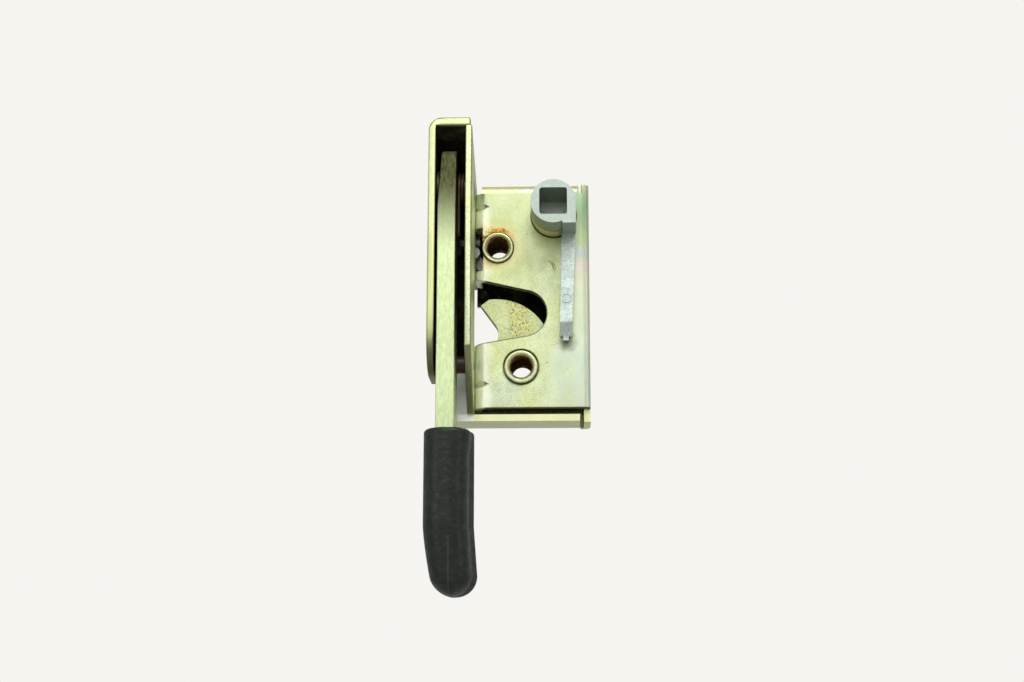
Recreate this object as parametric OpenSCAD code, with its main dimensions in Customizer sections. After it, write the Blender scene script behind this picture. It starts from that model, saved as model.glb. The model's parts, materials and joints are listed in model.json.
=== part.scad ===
// Rotary-claw door lock with a spindle hub and an inside lever.
// X runs to the right along the case, Y runs back through the door edge, Z is up.
// The origin is on the lower sleeve's axis, in the outer face of the front plate.

/* [Sheet metal] */
// Thickness of every pressed sheet
sheet_t = 2; // [1.5:0.1:2.2]
// Outer radius of every fold
fold_r = 3; // [2.5:0.1:3.5]
// Running clearance on every pivot
run_gap = 0.05; // [0.03:0.01:0.08]
// Clearance between pieces that pass each other
pass_gap = 0.3; // [0.2:0.05:0.5]

/* [Case] */
// Left face of the case, which lies on the base plate
case_left = -14; // [-15:0.1:-13.5]
// Right face of the case
case_right = 20.7; // [20.5:0.1:22]
// Lower edge of the front plate
case_bottom = -12.5; // [-13:0.1:-12]
// Height of the case's top above the hub's axis
top_margin = 10.3; // [10:0.1:12]
// Depth of the case over both plates
case_depth = 16; // [15.8:0.1:17]
// Depth of the front plate's left flange
side_flange_d = 10; // [9:0.5:11]
// Gap under the front plate, above the bottom flange
bottom_gap = 1.8; // [1:0.1:2.5]

/* [Mouth] */
// Height of the middle of the mouth's round end
mouth_z = 16.6; // [16:0.1:17]
// Distance of the mouth's round end from the claw's axis
mouth_x = 0.7; // [0.2:0.1:1.2]
// Radius of the mouth's round end
mouth_r = 7; // [6.8:0.1:7.2]
// How far the upper lip rises towards the left
upper_flare = 3.8; // [3:0.1:4]
// How far the lower lip falls towards the left
lower_flare = 2.7; // [2:0.1:3]
// How much higher the back plate's lower lip is
back_lip_rise = 3; // [2:0.1:3]

/* [Sleeves] */
// Outer radius of the lower sleeve, which the claw turns on
lower_sleeve_r = 4.9; // [4.7:0.05:5.1]
// Outer radius of the upper sleeve
upper_sleeve_r = 4.6; // [4.4:0.05:4.7]
// Bore radius of both sleeves, for M6 screws
sleeve_bore_r = 3.2; // [3.1:0.05:3.3]
// How far a sleeve stands out of each plate
sleeve_proud = 1; // [0.6:0.1:1.5]
// Place of the upper sleeve along X
upper_sleeve_x = -7; // [-7.2:0.1:-6.6]
// Height of the upper sleeve
upper_sleeve_z = 37; // [36.8:0.1:37.2]
// Dark clearance ring round the lower sleeve in the front plate
ring_gap = 0.45; // [0.3:0.05:0.6]

/* [Hub] */
// Place of the hub's axis along X
hub_x = 10; // [9.8:0.1:10.2]
// Height of the hub's axis
hub_z = 47; // [46.8:0.1:47.2]
// Outer radius of the hub and its collar
hub_r = 6.7; // [6.5:0.1:7]
// Radius of the hub's journal
journal_r = 5.8; // [5.7:0.05:5.9]
// How far the hub stands out of the front plate
hub_front = 15.5; // [15:0.1:16]
// Height of the collar on the front plate
collar_h = 6.2; // [5.5:0.1:6.5]
// Width of the square spindle socket
socket_w = 8.2; // [8.1:0.05:8.3]
// Depth of the spindle socket
socket_d = 15; // [13:0.5:15]
// Corner radius of the spindle socket
socket_corner = 0.8; // [0.6:0.1:1.2]
// Width of the arm under the hub
arm_w = 3.7; // [3.4:0.1:4]
// Thickness of the arm
arm_t = 3; // [2.5:0.1:3.3]
// Gap between the arm and the front plate
arm_gap = 0.8; // [0.6:0.1:1.2]
// Length of the arm below the hub's axis
arm_len = 38; // [36:0.5:39]

/* [Claw and pawl] */
// Thickness of the claw
claw_t = 4.9; // [4.5:0.1:5]
// Thickness of the claw's washer
claw_washer_t = 1; // [0.8:0.1:1]
// Angle that the claw's throat leans to the left when it is open
claw_open_angle = 36; // [34:0.5:38]
// Angle that the claw turns through to close
claw_travel = 50; // [48:1:52]
// Radius of the striker throat
throat_r = 5.3; // [5.2:0.05:5.5]
// Distance of the throat's round end from the claw's axis
throat_s = 15.8; // [15.4:0.1:16.2]
// Offset of the throat's middle from the claw's axis
throat_q = -3.6; // [-3.8:0.1:-3.4]
// Radius of the rim that the pawl's tooth rides on
rim_r = 11.2; // [11:0.1:11.4]
// Depth of the notch that the tooth drops into
notch_d = 3; // [2.5:0.1:3.2]
// Height of the pawl's tooth
tooth_h = 3.5; // [3:0.1:3.6]
// Height of the tooth's middle below the claw's axis
tooth_drop = 1.6; // [1.4:0.1:1.8]
// Thickness of the pawl plate
pawl_t = 3; // [2.6:0.1:3.2]

/* [Lever] */
// Thickness of the lever bar
lever_t = 5.4; // [5:0.1:5.6]
// Right face of the lever bar
lever_right = -18.9; // [-19.2:0.1:-18.7]
// Place of the lever's pivot along Y
pivot_y = -4; // [-4.5:0.1:-3.5]
// Height of the lever's pivot
pivot_z = 54; // [53.5:0.1:54.2]
// Radius of the lever's round head
head_r = 9.6; // [9:0.1:9.7]
// Radius of the lever's pivot pin
pivot_r = 3; // [2.7:0.1:3.2]
// Front edge of the lever's arm
arm_front = -16; // [-16.5:0.1:-15.5]
// Back edge of the lever's arm
arm_back = -4.2; // [-5:0.1:-4]
// Lower end of the bar, inside the grip
bar_bottom = -61; // [-64:0.5:-56]
// Radius of the drive pin
drive_r = 2; // [1.8:0.1:2.1]
// Place of the drive pin along Y
drive_y = 8.5; // [8.3:0.1:8.8]
// Height of the drive pin
drive_z = 41; // [40.8:0.1:41.2]

/* [Grip] */
// Width of the grip
grip_w = 14.4; // [13:0.1:15]
// Depth of the grip
grip_d = 19; // [18:0.1:20]
// Top of the grip
grip_top = -21; // [-24:0.5:-20]
// Bottom of the grip
grip_bottom = -68.6; // [-72:0.2:-66]
// Radius of the grip's long edges
grip_edge = 5; // [4:0.2:6]

/* [Hood] */
// Left face of the hood
hood_left = -27; // [-27.5:0.1:-26.5]
// Front edge of the hood
hood_front = -17; // [-17.5:0.1:-16.5]
// Top of the hood
hood_top = 73; // [72.5:0.1:74]
// Front edge of the base plate
base_front = -18; // [-18.5:0.1:-17.5]

/* [Springs] */
// Wire of the claw and pawl springs
wire_d = 1.1; // [0.9:0.1:1.2]
// Wire of the lever spring
lever_wire_d = 0.9; // [0.8:0.1:1]

/* [Hidden] */
$fn = 64;

// Colours
passivated = [0.70, 0.66, 0.45];
zinc_grey = [0.62, 0.63, 0.64];
steel_grey = [0.50, 0.50, 0.49];
grip_black = [0.06, 0.06, 0.06];

// Layers through the case
case_top = hub_z + top_margin;
front_in = sheet_t;
back_in = case_depth - sheet_t;
claw_y0 = front_in + claw_washer_t;
claw_y1 = claw_y0 + claw_t;
pawl_y0 = claw_y1 + 0.5;
pawl_y1 = pawl_y0 + pawl_t;

// Base plate and the parts of the left side
base_right = case_left;
base_left = base_right - sheet_t;
hood_in = hood_left + sheet_t;
lever_left = lever_right - lever_t;
fold_in = fold_r - sheet_t;
bend_x = case_left + fold_r;
flange_in = case_left + sheet_t;
floor_top = case_bottom - bottom_gap;
floor_bottom = floor_top - sheet_t;
right_in = case_right - sheet_t;

// Hood outline in the YZ plane
hood_peak_y = hood_front + 0.5;
hood_shoulder = [-12, hood_top - 2.5];
hood_heel = [case_depth, case_top + 1.2];
hood_step_z = 31;
hood_low_back = 2;
hood_low_z = -4.7;
hood_lobe_r = 10;
rim_low_z = 3.4;
hood_round = 4;
slant = atan2(hood_shoulder[1] - hood_heel[1], hood_heel[0] - hood_shoulder[0]);
slant_drop = sheet_t / cos(slant);

// Stop rivet at the hood's lower end
stop_z = 0.5;
stop_r = 1.6;
stop_tube_r = 2.6;
stop_y = arm_back + pass_gap + stop_tube_r;

// Mouth and the slots of the base plate
mouth_left = case_left - 1;
lip_top = mouth_z + mouth_r + upper_flare;
lip_low = mouth_z - mouth_r - lower_flare;
back_mouth_x = mouth_x - 1.5;
back_mouth_z = mouth_z - 1.6;
back_mouth_r = mouth_r - 1.2;
back_lip_top = back_mouth_z + back_mouth_r + 1.4;
slot_low = 7;
slot_high = 27.3;
relief_low = -1.8;
flange_relief_low = relief_low - 1.6;
window_low = 32.2;
flange_slot_low = 30;
window_high = 43.4;
window_front = 2.4;
window_back = 12.4;

// Pawl geometry, measured in the case's XZ plane
tooth_x0 = rim_r + pass_gap;
tooth_x1 = tooth_x0 + 2.9;
leg_w = 5.2;
pawl_hub_r = 7.5;
nose_r = 1.8;
nose_x = case_left - 0.5;
nose_z = drive_z - drive_r - pass_gap - nose_r;
square_w = 7.6;
journal_end = pawl_y1 + 0.9;
spigot_r = 3;
retainer_r = 5.6;
lug_w = 4;
lug_x = 4.7;
seam_gap = 0.15;

// Where the claw's notch lies, counted from the X axis when the claw is open
tooth_angle = -asin(tooth_drop / (rim_r + 1));
notch_mid = tooth_angle + claw_travel;

// Grip and bar
grip_x = (lever_left + lever_right) / 2 + 1;
grip_y = (arm_front + arm_back) / 2;
pocket_gap = 0.05;

// Helpers

// Extrudes a shape drawn in XZ from y0 back to y1
module through_y(y0, y1) {
  translate([0, y1, 0]) rotate([90, 0, 0]) linear_extrude(y1 - y0) children();
}

// Extrudes a shape drawn in YZ from x0 right to x1
module through_x(x0, x1) {
  translate([x0, 0, 0]) rotate([90, 0, 90]) linear_extrude(x1 - x0) children();
}

// Round bar along Y
module rod_y(x, z, r, y0, y1) {
  translate([x, y1, z]) rotate([90, 0, 0]) cylinder(r = r, h = y1 - y0);
}

// Round bar along X
module rod_x(y, z, r, x0, x1) {
  translate([x0, y, z]) rotate([0, 90, 0]) cylinder(r = r, h = x1 - x0);
}

// Tube along Y
module tube_y(x, z, r, bore, y0, y1) {
  difference() {
    rod_y(x, z, r, y0, y1);
    rod_y(x, z, bore, y0 - 1, y1 + 1);
  }
}

// Tube along X
module tube_x(y, z, r, bore, x0, x1) {
  difference() {
    rod_x(y, z, r, x0, x1);
    rod_x(y, z, bore, x0 - 1, x1 + 1);
  }
}

// Quarter of a folded sheet's bend, in the quadrant towards [-1, -1] from its centre
module bend_2d() {
  difference() {
    circle(r = fold_r);
    circle(r = fold_in);
    translate([0, -2 * fold_r]) square(4 * fold_r);
    translate([-2 * fold_r, 0]) square(4 * fold_r);
  }
}

// Points of an arc in degrees
function arc(c, r, a0, a1, n) = [
  for (i = [0:n])
    let (a = a0 + (a1 - a0) * i / n)
    c + r * [cos(a), sin(a)]
];

// Mouth in XZ, open to the left, from its round end at [x, z] to the lips' heights at the left edge
module mouth_2d(x, z, r, top_left, low_left) {
  translate([x, z]) circle(r = r);
  polygon([
    [mouth_left, top_left],
    [x + 1.4, z + r - 0.2],
    [x + 1.2, z - r + 0.15],
    [mouth_left, low_left]
  ]);
}

// Wire of diameter d swept along points as eight-sided rings,
// whose side direction is carried along the path
function unit(v) = v / norm(v);
function across(v, t) = unit(v - (v * t) * t);
function ring_at(p, t, side, d) = [
  for (k = [0:7])
    p + d / 2 * (cos(45 * k) * side + sin(45 * k) * cross(t, side))
];
module wire(path, d) {
  last = len(path) - 1;
  tangents = [for (i = [0:last]) unit(path[min(i + 1, last)] - path[max(i - 1, 0)])];
  sides = [
    for (
      i = 0, s = across([0.6, 0.7, 0.3], tangents[0]);
      i <= last;
      i = i + 1, s = across(s, tangents[min(i, last)])
    ) s
  ];
  points = [for (i = [0:last]) each ring_at(path[i], tangents[i], sides[i], d)];
  walls = [
    for (i = [0:last - 1], k = [0:7])
      [8 * i + k, 8 * i + 8 + k, 8 * i + 8 + (k + 1) % 8, 8 * i + (k + 1) % 8]
  ];
  caps = [[for (k = [0:7]) k], [for (k = [7:-1:0]) 8 * last + k]];
  polyhedron(points, concat(walls, caps), convexity = 6);
}

// Turns of a coil about the Y axis through [x, z]
function coil_y(x, z, r, y0, pitch, a0, a1) =
  let (n = ceil(abs(a1 - a0) / 24))
  [for (i = [0:n])
    let (a = a0 + (a1 - a0) * i / n)
    [x + r * cos(a), y0 + pitch * abs(a - a0) / 360, z + r * sin(a)]];

// Turns of a coil about the X axis through [y, z]
function coil_x(y, z, r, x0, pitch, a0, a1) =
  let (n = ceil(abs(a1 - a0) / 24))
  [for (i = [0:n])
    let (a = a0 + (a1 - a0) * i / n)
    [x0 + pitch * abs(a - a0) / 360, y + r * cos(a), z + r * sin(a)]];

// Case

// Horizontal section of the front plate: the face, its left fold and its rounded right edge
module front_section_2d() {
  translate([bend_x, fold_r]) bend_2d();
  translate([case_left, fold_r]) square([sheet_t, side_flange_d - fold_r]);
  translate([bend_x, 0]) square([right_in - bend_x, sheet_t]);
  translate([right_in, sheet_t]) intersection() {
    circle(r = sheet_t);
    translate([0, -sheet_t]) square(sheet_t);
  }
}

// Fold of the front plate's top edge, in YZ
module top_fold_2d() {
  translate([fold_r, case_top - fold_r]) mirror([0, 1]) bend_2d();
  translate([fold_r, case_top - sheet_t]) square([back_in - fold_r, sheet_t]);
}

// Pressed gusset across the left fold: a V groove along the fold's diagonal
module gusset_cut(z) {
  reach = 4;
  half_h = 2.6;
  translate([case_left, reach, z]) rotate([0, 0, -45]) translate([-1, 0, 0]) rotate([90, 0, 90])
    linear_extrude(reach * sqrt(2) + 2) polygon([[0, 0], [-reach, -half_h - 1], [-reach, half_h + 1]]);
}

gusset_z = [-5.2, 50];
top_fold_x0 = case_left + 2;
top_fold_x1 = right_in - 1.1;

module front_plate() {
  color(passivated) difference() {
    union() {
      translate([0, 0, case_bottom]) linear_extrude(case_top - fold_r - case_bottom) front_section_2d();
      through_x(top_fold_x0, top_fold_x1) top_fold_2d();
      translate([right_in - 0.3, 0, case_top - fold_r]) intersection() {
        linear_extrude(fold_r - 0.3) translate([0.3 - right_in, 0]) front_section_2d();
        cube([sheet_t + 0.3, sheet_t, fold_r]);
      }
    }
    through_y(-1, side_flange_d + 1)
      mouth_2d(mouth_x, mouth_z, mouth_r, lip_top, lip_low);
    translate([case_left - 1, front_in + 0.4, flange_relief_low])
      cube([sheet_t + 1.5, side_flange_d, slot_low + 1 - flange_relief_low]);
    translate([case_left - 1, -1, flange_slot_low])
      cube([sheet_t + 1.4, side_flange_d + 2, window_high - flange_slot_low]);
    for (z = gusset_z) gusset_cut(z);
    rod_y(0, 0, lower_sleeve_r + ring_gap, -1, sheet_t + 1);
    rod_y(upper_sleeve_x, upper_sleeve_z, upper_sleeve_r + run_gap, -1, sheet_t + 1);
    rod_y(hub_x, hub_z, journal_r + run_gap + collar_wall, -1, sheet_t + 1);
    rod_y(post_x, post_z, post_r + run_gap, -1, sheet_t + 1);
    for (z = rivet_z) rod_x(rivet_y, z, rivet_r + run_gap, case_left - 1, flange_in + 1);
  }
}

// Horizontal section of the back plate's right fold
module right_fold_2d() {
  translate([case_right - fold_r, case_depth - fold_r]) rotate(180) bend_2d();
  translate([right_in, front_in + 0.1]) square([sheet_t, case_depth - fold_r - front_in - 0.1]);
}

// Fold of the back plate's bottom edge, in YZ
module bottom_fold_2d() {
  translate([case_depth - fold_r, floor_bottom + fold_r]) mirror([1, 0]) bend_2d();
  translate([0, floor_bottom]) square([case_depth - fold_r, sheet_t]);
}

ear_left = -22;
ear_top = 1.5;
floor_right = right_in - 1.2;

module back_plate() {
  color(passivated) difference() {
    union() {
      translate([0, 0, floor_bottom]) linear_extrude(case_top - floor_bottom) right_fold_2d();
      through_y(back_in, case_depth) {
        translate([case_left, floor_bottom + fold_r])
          square([case_right - fold_r - case_left, case_top - floor_bottom - fold_r]);
        translate([ear_left, floor_bottom + fold_r])
          square([case_left - ear_left, ear_top - floor_bottom - fold_r]);
        translate([floor_right - 0.3, floor_bottom + 0.4])
          square([case_right - fold_r - floor_right + 0.3, fold_r]);
      }
      through_x(ear_left, floor_right) bottom_fold_2d();
    }
    through_y(back_in - 1, case_depth + 1)
      mouth_2d(back_mouth_x, back_mouth_z, back_mouth_r, back_lip_top, lip_low + back_lip_rise);
    rod_y(0, 0, lower_sleeve_r + run_gap, back_in - 1, case_depth + 1);
    rod_y(upper_sleeve_x, upper_sleeve_z, upper_sleeve_r + run_gap, back_in - 1, case_depth + 1);
  }
}

// Outline of the base plate in YZ
module base_outline_2d() {
  heel_z = hood_heel[1] - slant_drop;
  polygon([
    [base_front, 3],
    [base_front, 45],
    [hood_peak_y, hood_top - slant_drop],
    [hood_shoulder[0], hood_shoulder[1] - slant_drop],
    [back_in, heel_z + (hood_heel[0] - back_in) * tan(slant)],
    [back_in, floor_top + fold_in + 0.3],
    [back_in - fold_in - 0.3, floor_top],
    [-1, floor_top],
    [-2, case_bottom - 0.9]
  ]);
}

module base_plate() {
  color(passivated) difference() {
    through_x(base_left, base_right) base_outline_2d();
    translate([base_left - 1, 0, slot_low]) cube([sheet_t + 2, case_depth, slot_high - slot_low]);
    translate([base_left - 1, front_in + 0.4, relief_low])
      cube([sheet_t + 2, claw_t + 1.4, slot_low + 1 - relief_low]);
    translate([base_left - 1, window_front, window_low])
      cube([sheet_t + 2, window_back - window_front, window_high - window_low]);
    rod_x(pivot_y, pivot_z, pivot_r + run_gap, base_left - 1, base_right + 1);
    rod_x(stop_y, stop_z, stop_r + run_gap, base_left - 1, base_right + 1);
    for (z = rivet_z) rod_x(rivet_y, z, rivet_r + run_gap, base_left - 1, base_right + 1);
  }
}

// Outline of the hood's left wall in YZ
module hood_outline_2d() {
  polygon(concat(
    [
      [hood_peak_y, hood_top],
      hood_shoulder,
      hood_heel,
      [hood_heel[0], hood_step_z],
      [hood_low_back, hood_step_z],
      [hood_low_back, hood_low_z]
    ],
    arc([hood_front + hood_lobe_r, hood_low_z + hood_lobe_r], hood_lobe_r, 270, 180, 16)
  ));
}

// Rolled rim of the hood: the band along its top, back and step, from start down to the lower back
module hood_rim_2d() {
  polygon([
    [hood_peak_y, hood_top],
    hood_shoulder,
    hood_heel,
    [hood_heel[0], hood_step_z],
    [hood_low_back, hood_step_z],
    [hood_low_back, rim_low_z],
    [hood_low_back - sheet_t, rim_low_z],
    [hood_low_back - sheet_t, hood_step_z + sheet_t],
    [back_in, hood_step_z + sheet_t],
    [back_in, hood_heel[1] - slant_drop + (hood_heel[0] - back_in) * tan(slant)],
    [hood_shoulder[0], hood_shoulder[1] - slant_drop],
    [hood_peak_y, hood_top - slant_drop]
  ]);
}

module lever_hood() {
  color(passivated) difference() {
    union() {
      through_x(hood_left, hood_in) hood_outline_2d();
      through_x(hood_left, base_left) hood_rim_2d();
      through_x(base_left, base_right - 0.5) intersection() {
        hood_rim_2d();
        translate([hood_front - 1, pivot_z])
          square([case_depth - hood_front + 1, hood_top - pivot_z + 1]);
        difference() {
          square(400, center = true);
          base_outline_2d();
        }
      }
    }
    rod_x(pivot_y, pivot_z, pivot_r + run_gap, hood_left - 1, hood_in + 1);
    rod_x(stop_y, stop_z, stop_r + run_gap, hood_left - 1, hood_in + 1);
    // Rounded fold along the hood's top left edge
    translate([hood_left, 0, hood_top]) fold_round();
  }
}

// Removes the sharp corner along the front of the hood's top edge
module fold_round() {
  difference() {
    translate([-1, -60, -hood_round]) cube([hood_round + 1, 120, hood_round + 1]);
    rod_y(hood_round, -hood_round, hood_round, -61, 61);
  }
}

// Sleeves, collar and small fixed pieces
chamfer_w = 0.9;

module fixing_sleeve(x, z, r) {
  y0 = -sleeve_proud;
  y1 = case_depth + sleeve_proud;
  translate([x, 0, z]) rotate([-90, 0, 0]) rotate_extrude() polygon([
    [sleeve_bore_r + chamfer_w, y0],
    [r, y0],
    [r, y1],
    [sleeve_bore_r, y1],
    [sleeve_bore_r, y0 + chamfer_w]
  ]);
}

module lower_sleeve() {
  color(passivated) fixing_sleeve(0, 0, lower_sleeve_r);
}

module upper_sleeve() {
  color(passivated) fixing_sleeve(upper_sleeve_x, upper_sleeve_z, upper_sleeve_r);
}

collar_wall = 0.5;
module hub_collar() {
  color(passivated) difference() {
    union() {
      rod_y(hub_x, hub_z, hub_r, -collar_h, 0);
      rod_y(hub_x, hub_z, journal_r + collar_wall, -1, sheet_t);
    }
    rod_y(hub_x, hub_z, journal_r + run_gap, -collar_h - 1, sheet_t + 1);
  }
}

post_x = 9.3;
post_z = 31;
post_r = 2;
post_proud = 0.1;
module spring_post() {
  color(passivated) rod_y(post_x, post_z, post_r, -post_proud, pawl_y0 - 0.6);
}

rivet_r = 1.5;
rivet_y = 7.5;
rivet_z = [-7.5, 51.5];
rivet_head_r = 2.6;
rivet_head_h = 0.9;
module case_rivets() {
  color(steel_grey) for (z = rivet_z) {
    rod_x(rivet_y, z, rivet_r, base_left, flange_in);
    rod_x(rivet_y, z, rivet_head_r, flange_in, flange_in + rivet_head_h);
  }
}

module lever_pin() {
  color(steel_grey) rod_x(pivot_y, pivot_z, pivot_r, hood_left, base_right);
}

bush_wall = 1.1;
module lever_washer() {
  color(steel_grey)
    tube_x(pivot_y, pivot_z, pivot_r + 3, pivot_r + run_gap, hood_in, lever_left - run_gap);
}

module lever_bush() {
  color(steel_grey)
    tube_x(pivot_y, pivot_z, pivot_r + bush_wall, pivot_r + run_gap, lever_right + run_gap, base_left);
}

module stop_rivet() {
  color(steel_grey) rod_x(stop_y, stop_z, stop_r, hood_left, base_right);
}

module stop_tube() {
  color(steel_grey) tube_x(stop_y, stop_z, stop_tube_r, stop_r + run_gap, hood_in, base_left);
}

module claw_washer() {
  color(steel_grey)
    tube_y(0, 0, lower_sleeve_r + 3, lower_sleeve_r + run_gap, front_in, claw_y0 - run_gap);
}

// Hub and pawl

// Square with rounded corners
module soft_square_2d(w, r) {
  for (a = [0, 90]) rotate(a) square([w, w - 2 * r], center = true);
  for (x = [-1, 1], y = [-1, 1]) translate([x, y] * (w / 2 - r)) circle(r = r);
}

arm_x = 4.5;
arm_lean = 1;
arm_flare = 0.2;
arm_top = 6.8;
arm_tip = 3.9;
stub_w = 1.7;
stub_h = 1.3;

// Arm and lug of the hub, seen from the front, from the hub's axis
module arm_2d() {
  half = arm_w / 2;
  polygon([
    [arm_x - half - arm_flare, 0],
    [arm_x + half + arm_flare, 0],
    [arm_x + half + arm_flare, -arm_top],
    [arm_x + half - arm_lean, -arm_len],
    [arm_x - half - arm_lean, -arm_len],
    [arm_x - half - arm_flare, -arm_top]
  ]);
}

module hub_casting() {
  arm_y0 = -arm_gap - arm_t;
  color(zinc_grey) difference() {
    union() {
      rod_y(hub_x, hub_z, hub_r, -hub_front, -collar_h - seam_gap);
      rod_y(hub_x, hub_z, journal_r, -hub_front + 1, pawl_y0);
      translate([hub_x, 0, hub_z]) {
        through_y(-hub_front, arm_y0 + 0.1)
          translate([lug_x - lug_w / 2, -arm_top]) square([lug_w, arm_top]);
        intersection() {
          through_y(arm_y0, -arm_gap) arm_2d();
          through_x(0, 2 * arm_x) polygon([
            [arm_y0, 0],
            [-arm_gap, 0],
            [-arm_gap, -arm_len],
            [-arm_gap - 0.6, -arm_len],
            [arm_y0, arm_tip - arm_len]
          ]);
        }
        through_y(-arm_gap - 1.2, -arm_gap)
          translate([arm_x - arm_lean - stub_w / 2, -arm_len - stub_h]) square([stub_w, stub_h + 1]);
        through_y(pawl_y0 - 0.1, pawl_y1) soft_square_2d(square_w, 1.2);
      }
      rod_y(hub_x, hub_z, spigot_r, pawl_y1 - 0.1, journal_end);
    }
    difference() {
      rod_y(hub_x, hub_z, hub_r + pass_gap, -collar_h - seam_gap, 1);
      rod_y(hub_x, hub_z, journal_r, -hub_front, 2);
    }
    translate([hub_x, 0, hub_z])
      through_y(-hub_front - 1, socket_d - hub_front) soft_square_2d(socket_w, socket_corner);
  }
}

// Band of given half widths along a path, in XZ, with mitred corners
function right_of(p, q) = let (d = unit(q - p)) [d[1], -d[0]];
function miter(path, i) =
  let (
    before = right_of(path[max(i - 1, 0)], path[max(i, 1)]),
    after = right_of(path[min(i, len(path) - 2)], path[min(i + 1, len(path) - 1)]),
    middle = unit(before + after)
  )
  middle / (middle * before);
module band_2d(path, halves) {
  last = len(path) - 1;
  polygon(concat(
    [for (i = [0:last]) path[i] + halves[i] * miter(path, i)],
    [for (i = [last:-1:0]) path[i] - halves[i] * miter(path, i)]
  ));
}

// Pawl: the eye, the leg down the right of the mouth and the tail that dips under the upper sleeve
tail_path = [[hub_x - 3, hub_z - 11], [1, 29.4], [-7.5, 29.4], [-12.6, 33.4], [nose_x, nose_z]];
tail_halves = [2.2, 1.8, 1.4, 1.3, 1.5];
tooth_z = -tooth_drop - tooth_h / 2;
module pawl() {
  color(steel_grey) difference() {
    union() {
      rod_y(hub_x, hub_z, pawl_hub_r, pawl_y0, pawl_y1);
      through_y(pawl_y0, pawl_y1) polygon([
        [hub_x - 5.5, hub_z - 3],
        [hub_x + 6.8, hub_z - 2],
        [tooth_x1 + 2.2, 26],
        [tooth_x1, tooth_z],
        [tooth_x0, tooth_z],
        [tooth_x1 - leg_w + 0.4, 6],
        [tooth_x1 + 2 - leg_w, 26],
        [hub_x - 3.5, hub_z - 13.5]
      ]);
      through_y(pawl_y0, pawl_y1) band_2d(tail_path, tail_halves);
      through_y(claw_y0 + 0.3, pawl_y0 + 0.5)
        translate([tooth_x0, tooth_z]) square([tooth_x1 - tooth_x0 - 0.1, tooth_h]);
      rod_y(nose_x, nose_z, nose_r, front_in + 2.5, pawl_y1);
    }
    translate([hub_x, 0, hub_z])
      through_y(pawl_y0 - 1, pawl_y1 + 1) soft_square_2d(square_w + 2 * run_gap, 1.2);
  }
}

module pawl_retainer() {
  color(steel_grey) tube_y(hub_x, hub_z, retainer_r, spigot_r + run_gap, pawl_y1, journal_end);
}

// Claw, drawn with its throat straight up and then leaned to the left
tip_s = 23.2;
lobe = [-3.4, 8.3];
lobe_r = 17;
claw_hub_r = 9;
front_prong = [[-8, -1.5], [-12.6, 8], [-12.6, 15.2], [-11.6, 16], [-8, 16.3], [0, 6]];

// Slab of the claw's thickness, from a shape drawn with the throat straight up
module claw_slab(y0, y1) {
  through_y(y0, y1) rotate(claw_open_angle) children();
}

module claw() {
  color(passivated) difference() {
    union() {
      claw_slab(claw_y0, claw_y1) circle(r = claw_hub_r);
      claw_slab(claw_y0, claw_y1) rotate(-claw_open_angle) intersection() {
        circle(r = rim_r);
        polygon([[0, 0], 40 * [cos(-30), sin(-30)], [40, 0], 40 * [cos(50), sin(50)]]);
      }
      claw_slab(claw_y0, claw_y1) intersection() {
        translate(lobe) circle(r = lobe_r);
        polygon([[-4, -0.5], [-4, tip_s], [30, tip_s], [30, 5.2], [0, -0.5]]);
      }
      claw_slab(claw_y0, claw_y1) polygon(front_prong);
    }
    claw_slab(claw_y0 - 1, claw_y1 + 1) translate([throat_q, throat_s]) circle(r = throat_r);
    claw_slab(claw_y0 - 1, claw_y1 + 1)
      translate([throat_q - throat_r, throat_s]) square([2 * throat_r, 2 * tip_s]);
    claw_slab(claw_y0 - 1, claw_y1 + 1) rotate(notch_mid - claw_open_angle)
      translate([rim_r - notch_d, -tooth_h / 2 - 0.4]) square([30, tooth_h + 1]);
    rod_y(0, 0, lower_sleeve_r + run_gap, claw_y0 - 1, claw_y1 + 1);
  }
}

// Springs
claw_coil_r = lower_sleeve_r + 0.9 + wire_d / 2;
claw_coil_y0 = claw_y1 + wire_d / 2 + 0.15;
claw_coil_room = back_in - claw_coil_y0 - wire_d / 2 - pass_gap;
claw_coil_turns = floor(claw_coil_room / (wire_d + 0.25));
module claw_spring() {
  pitch = claw_coil_room / claw_coil_turns;
  turns = coil_y(0, 0, claw_coil_r, claw_coil_y0, pitch, 180, 180 - 360 * claw_coil_turns);
  color(steel_grey) wire(concat(
    [[-claw_coil_r, claw_coil_y0, -claw_coil_r - 2.5]],
    turns,
    [[-claw_coil_r, claw_coil_y0 + claw_coil_room, claw_coil_r + 0.5]]
  ), wire_d);
}

// The long leg lies against the left of the spring post and meets the coil at this angle
pawl_coil_r = journal_r + 0.6 + wire_d / 2;
leg_x = post_x - post_r - wire_d / 2 - 0.05;
leg_angle = 193.5;
module pawl_spring() {
  y0 = front_in + wire_d / 2 + 0.3;
  pitch = wire_d + 0.2;
  turns = coil_y(hub_x, hub_z, pawl_coil_r, y0, pitch, leg_angle, -720);
  y1 = y0 + pitch * (leg_angle + 720) / 360;
  color(steel_grey) wire(concat(
    [[leg_x, y0, post_z - 2]],
    turns,
    [[hub_x + pawl_coil_r, y1, hub_z - 8]]
  ), wire_d);
}

lever_coil_r = pivot_r + bush_wall + 0.3 + lever_wire_d / 2;
module lever_spring() {
  x0 = lever_right + lever_wire_d / 2 + 0.1;
  pitch = lever_wire_d + 0.1;
  turns = coil_x(pivot_y, pivot_z, lever_coil_r, x0, pitch, 180, -270);
  x1 = x0 + pitch * 450 / 360;
  color(steel_grey) wire(concat(
    [[x0, pivot_y - lever_coil_r, pivot_z - 16]],
    turns,
    [[x1, pivot_y + 6, pivot_z + lever_coil_r]]
  ), lever_wire_d);
}

// Lever
lobe_y_r = 4;
brow = [pivot_y - 4.7, pivot_z + 6.6];
brow_r = 4.2;

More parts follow.
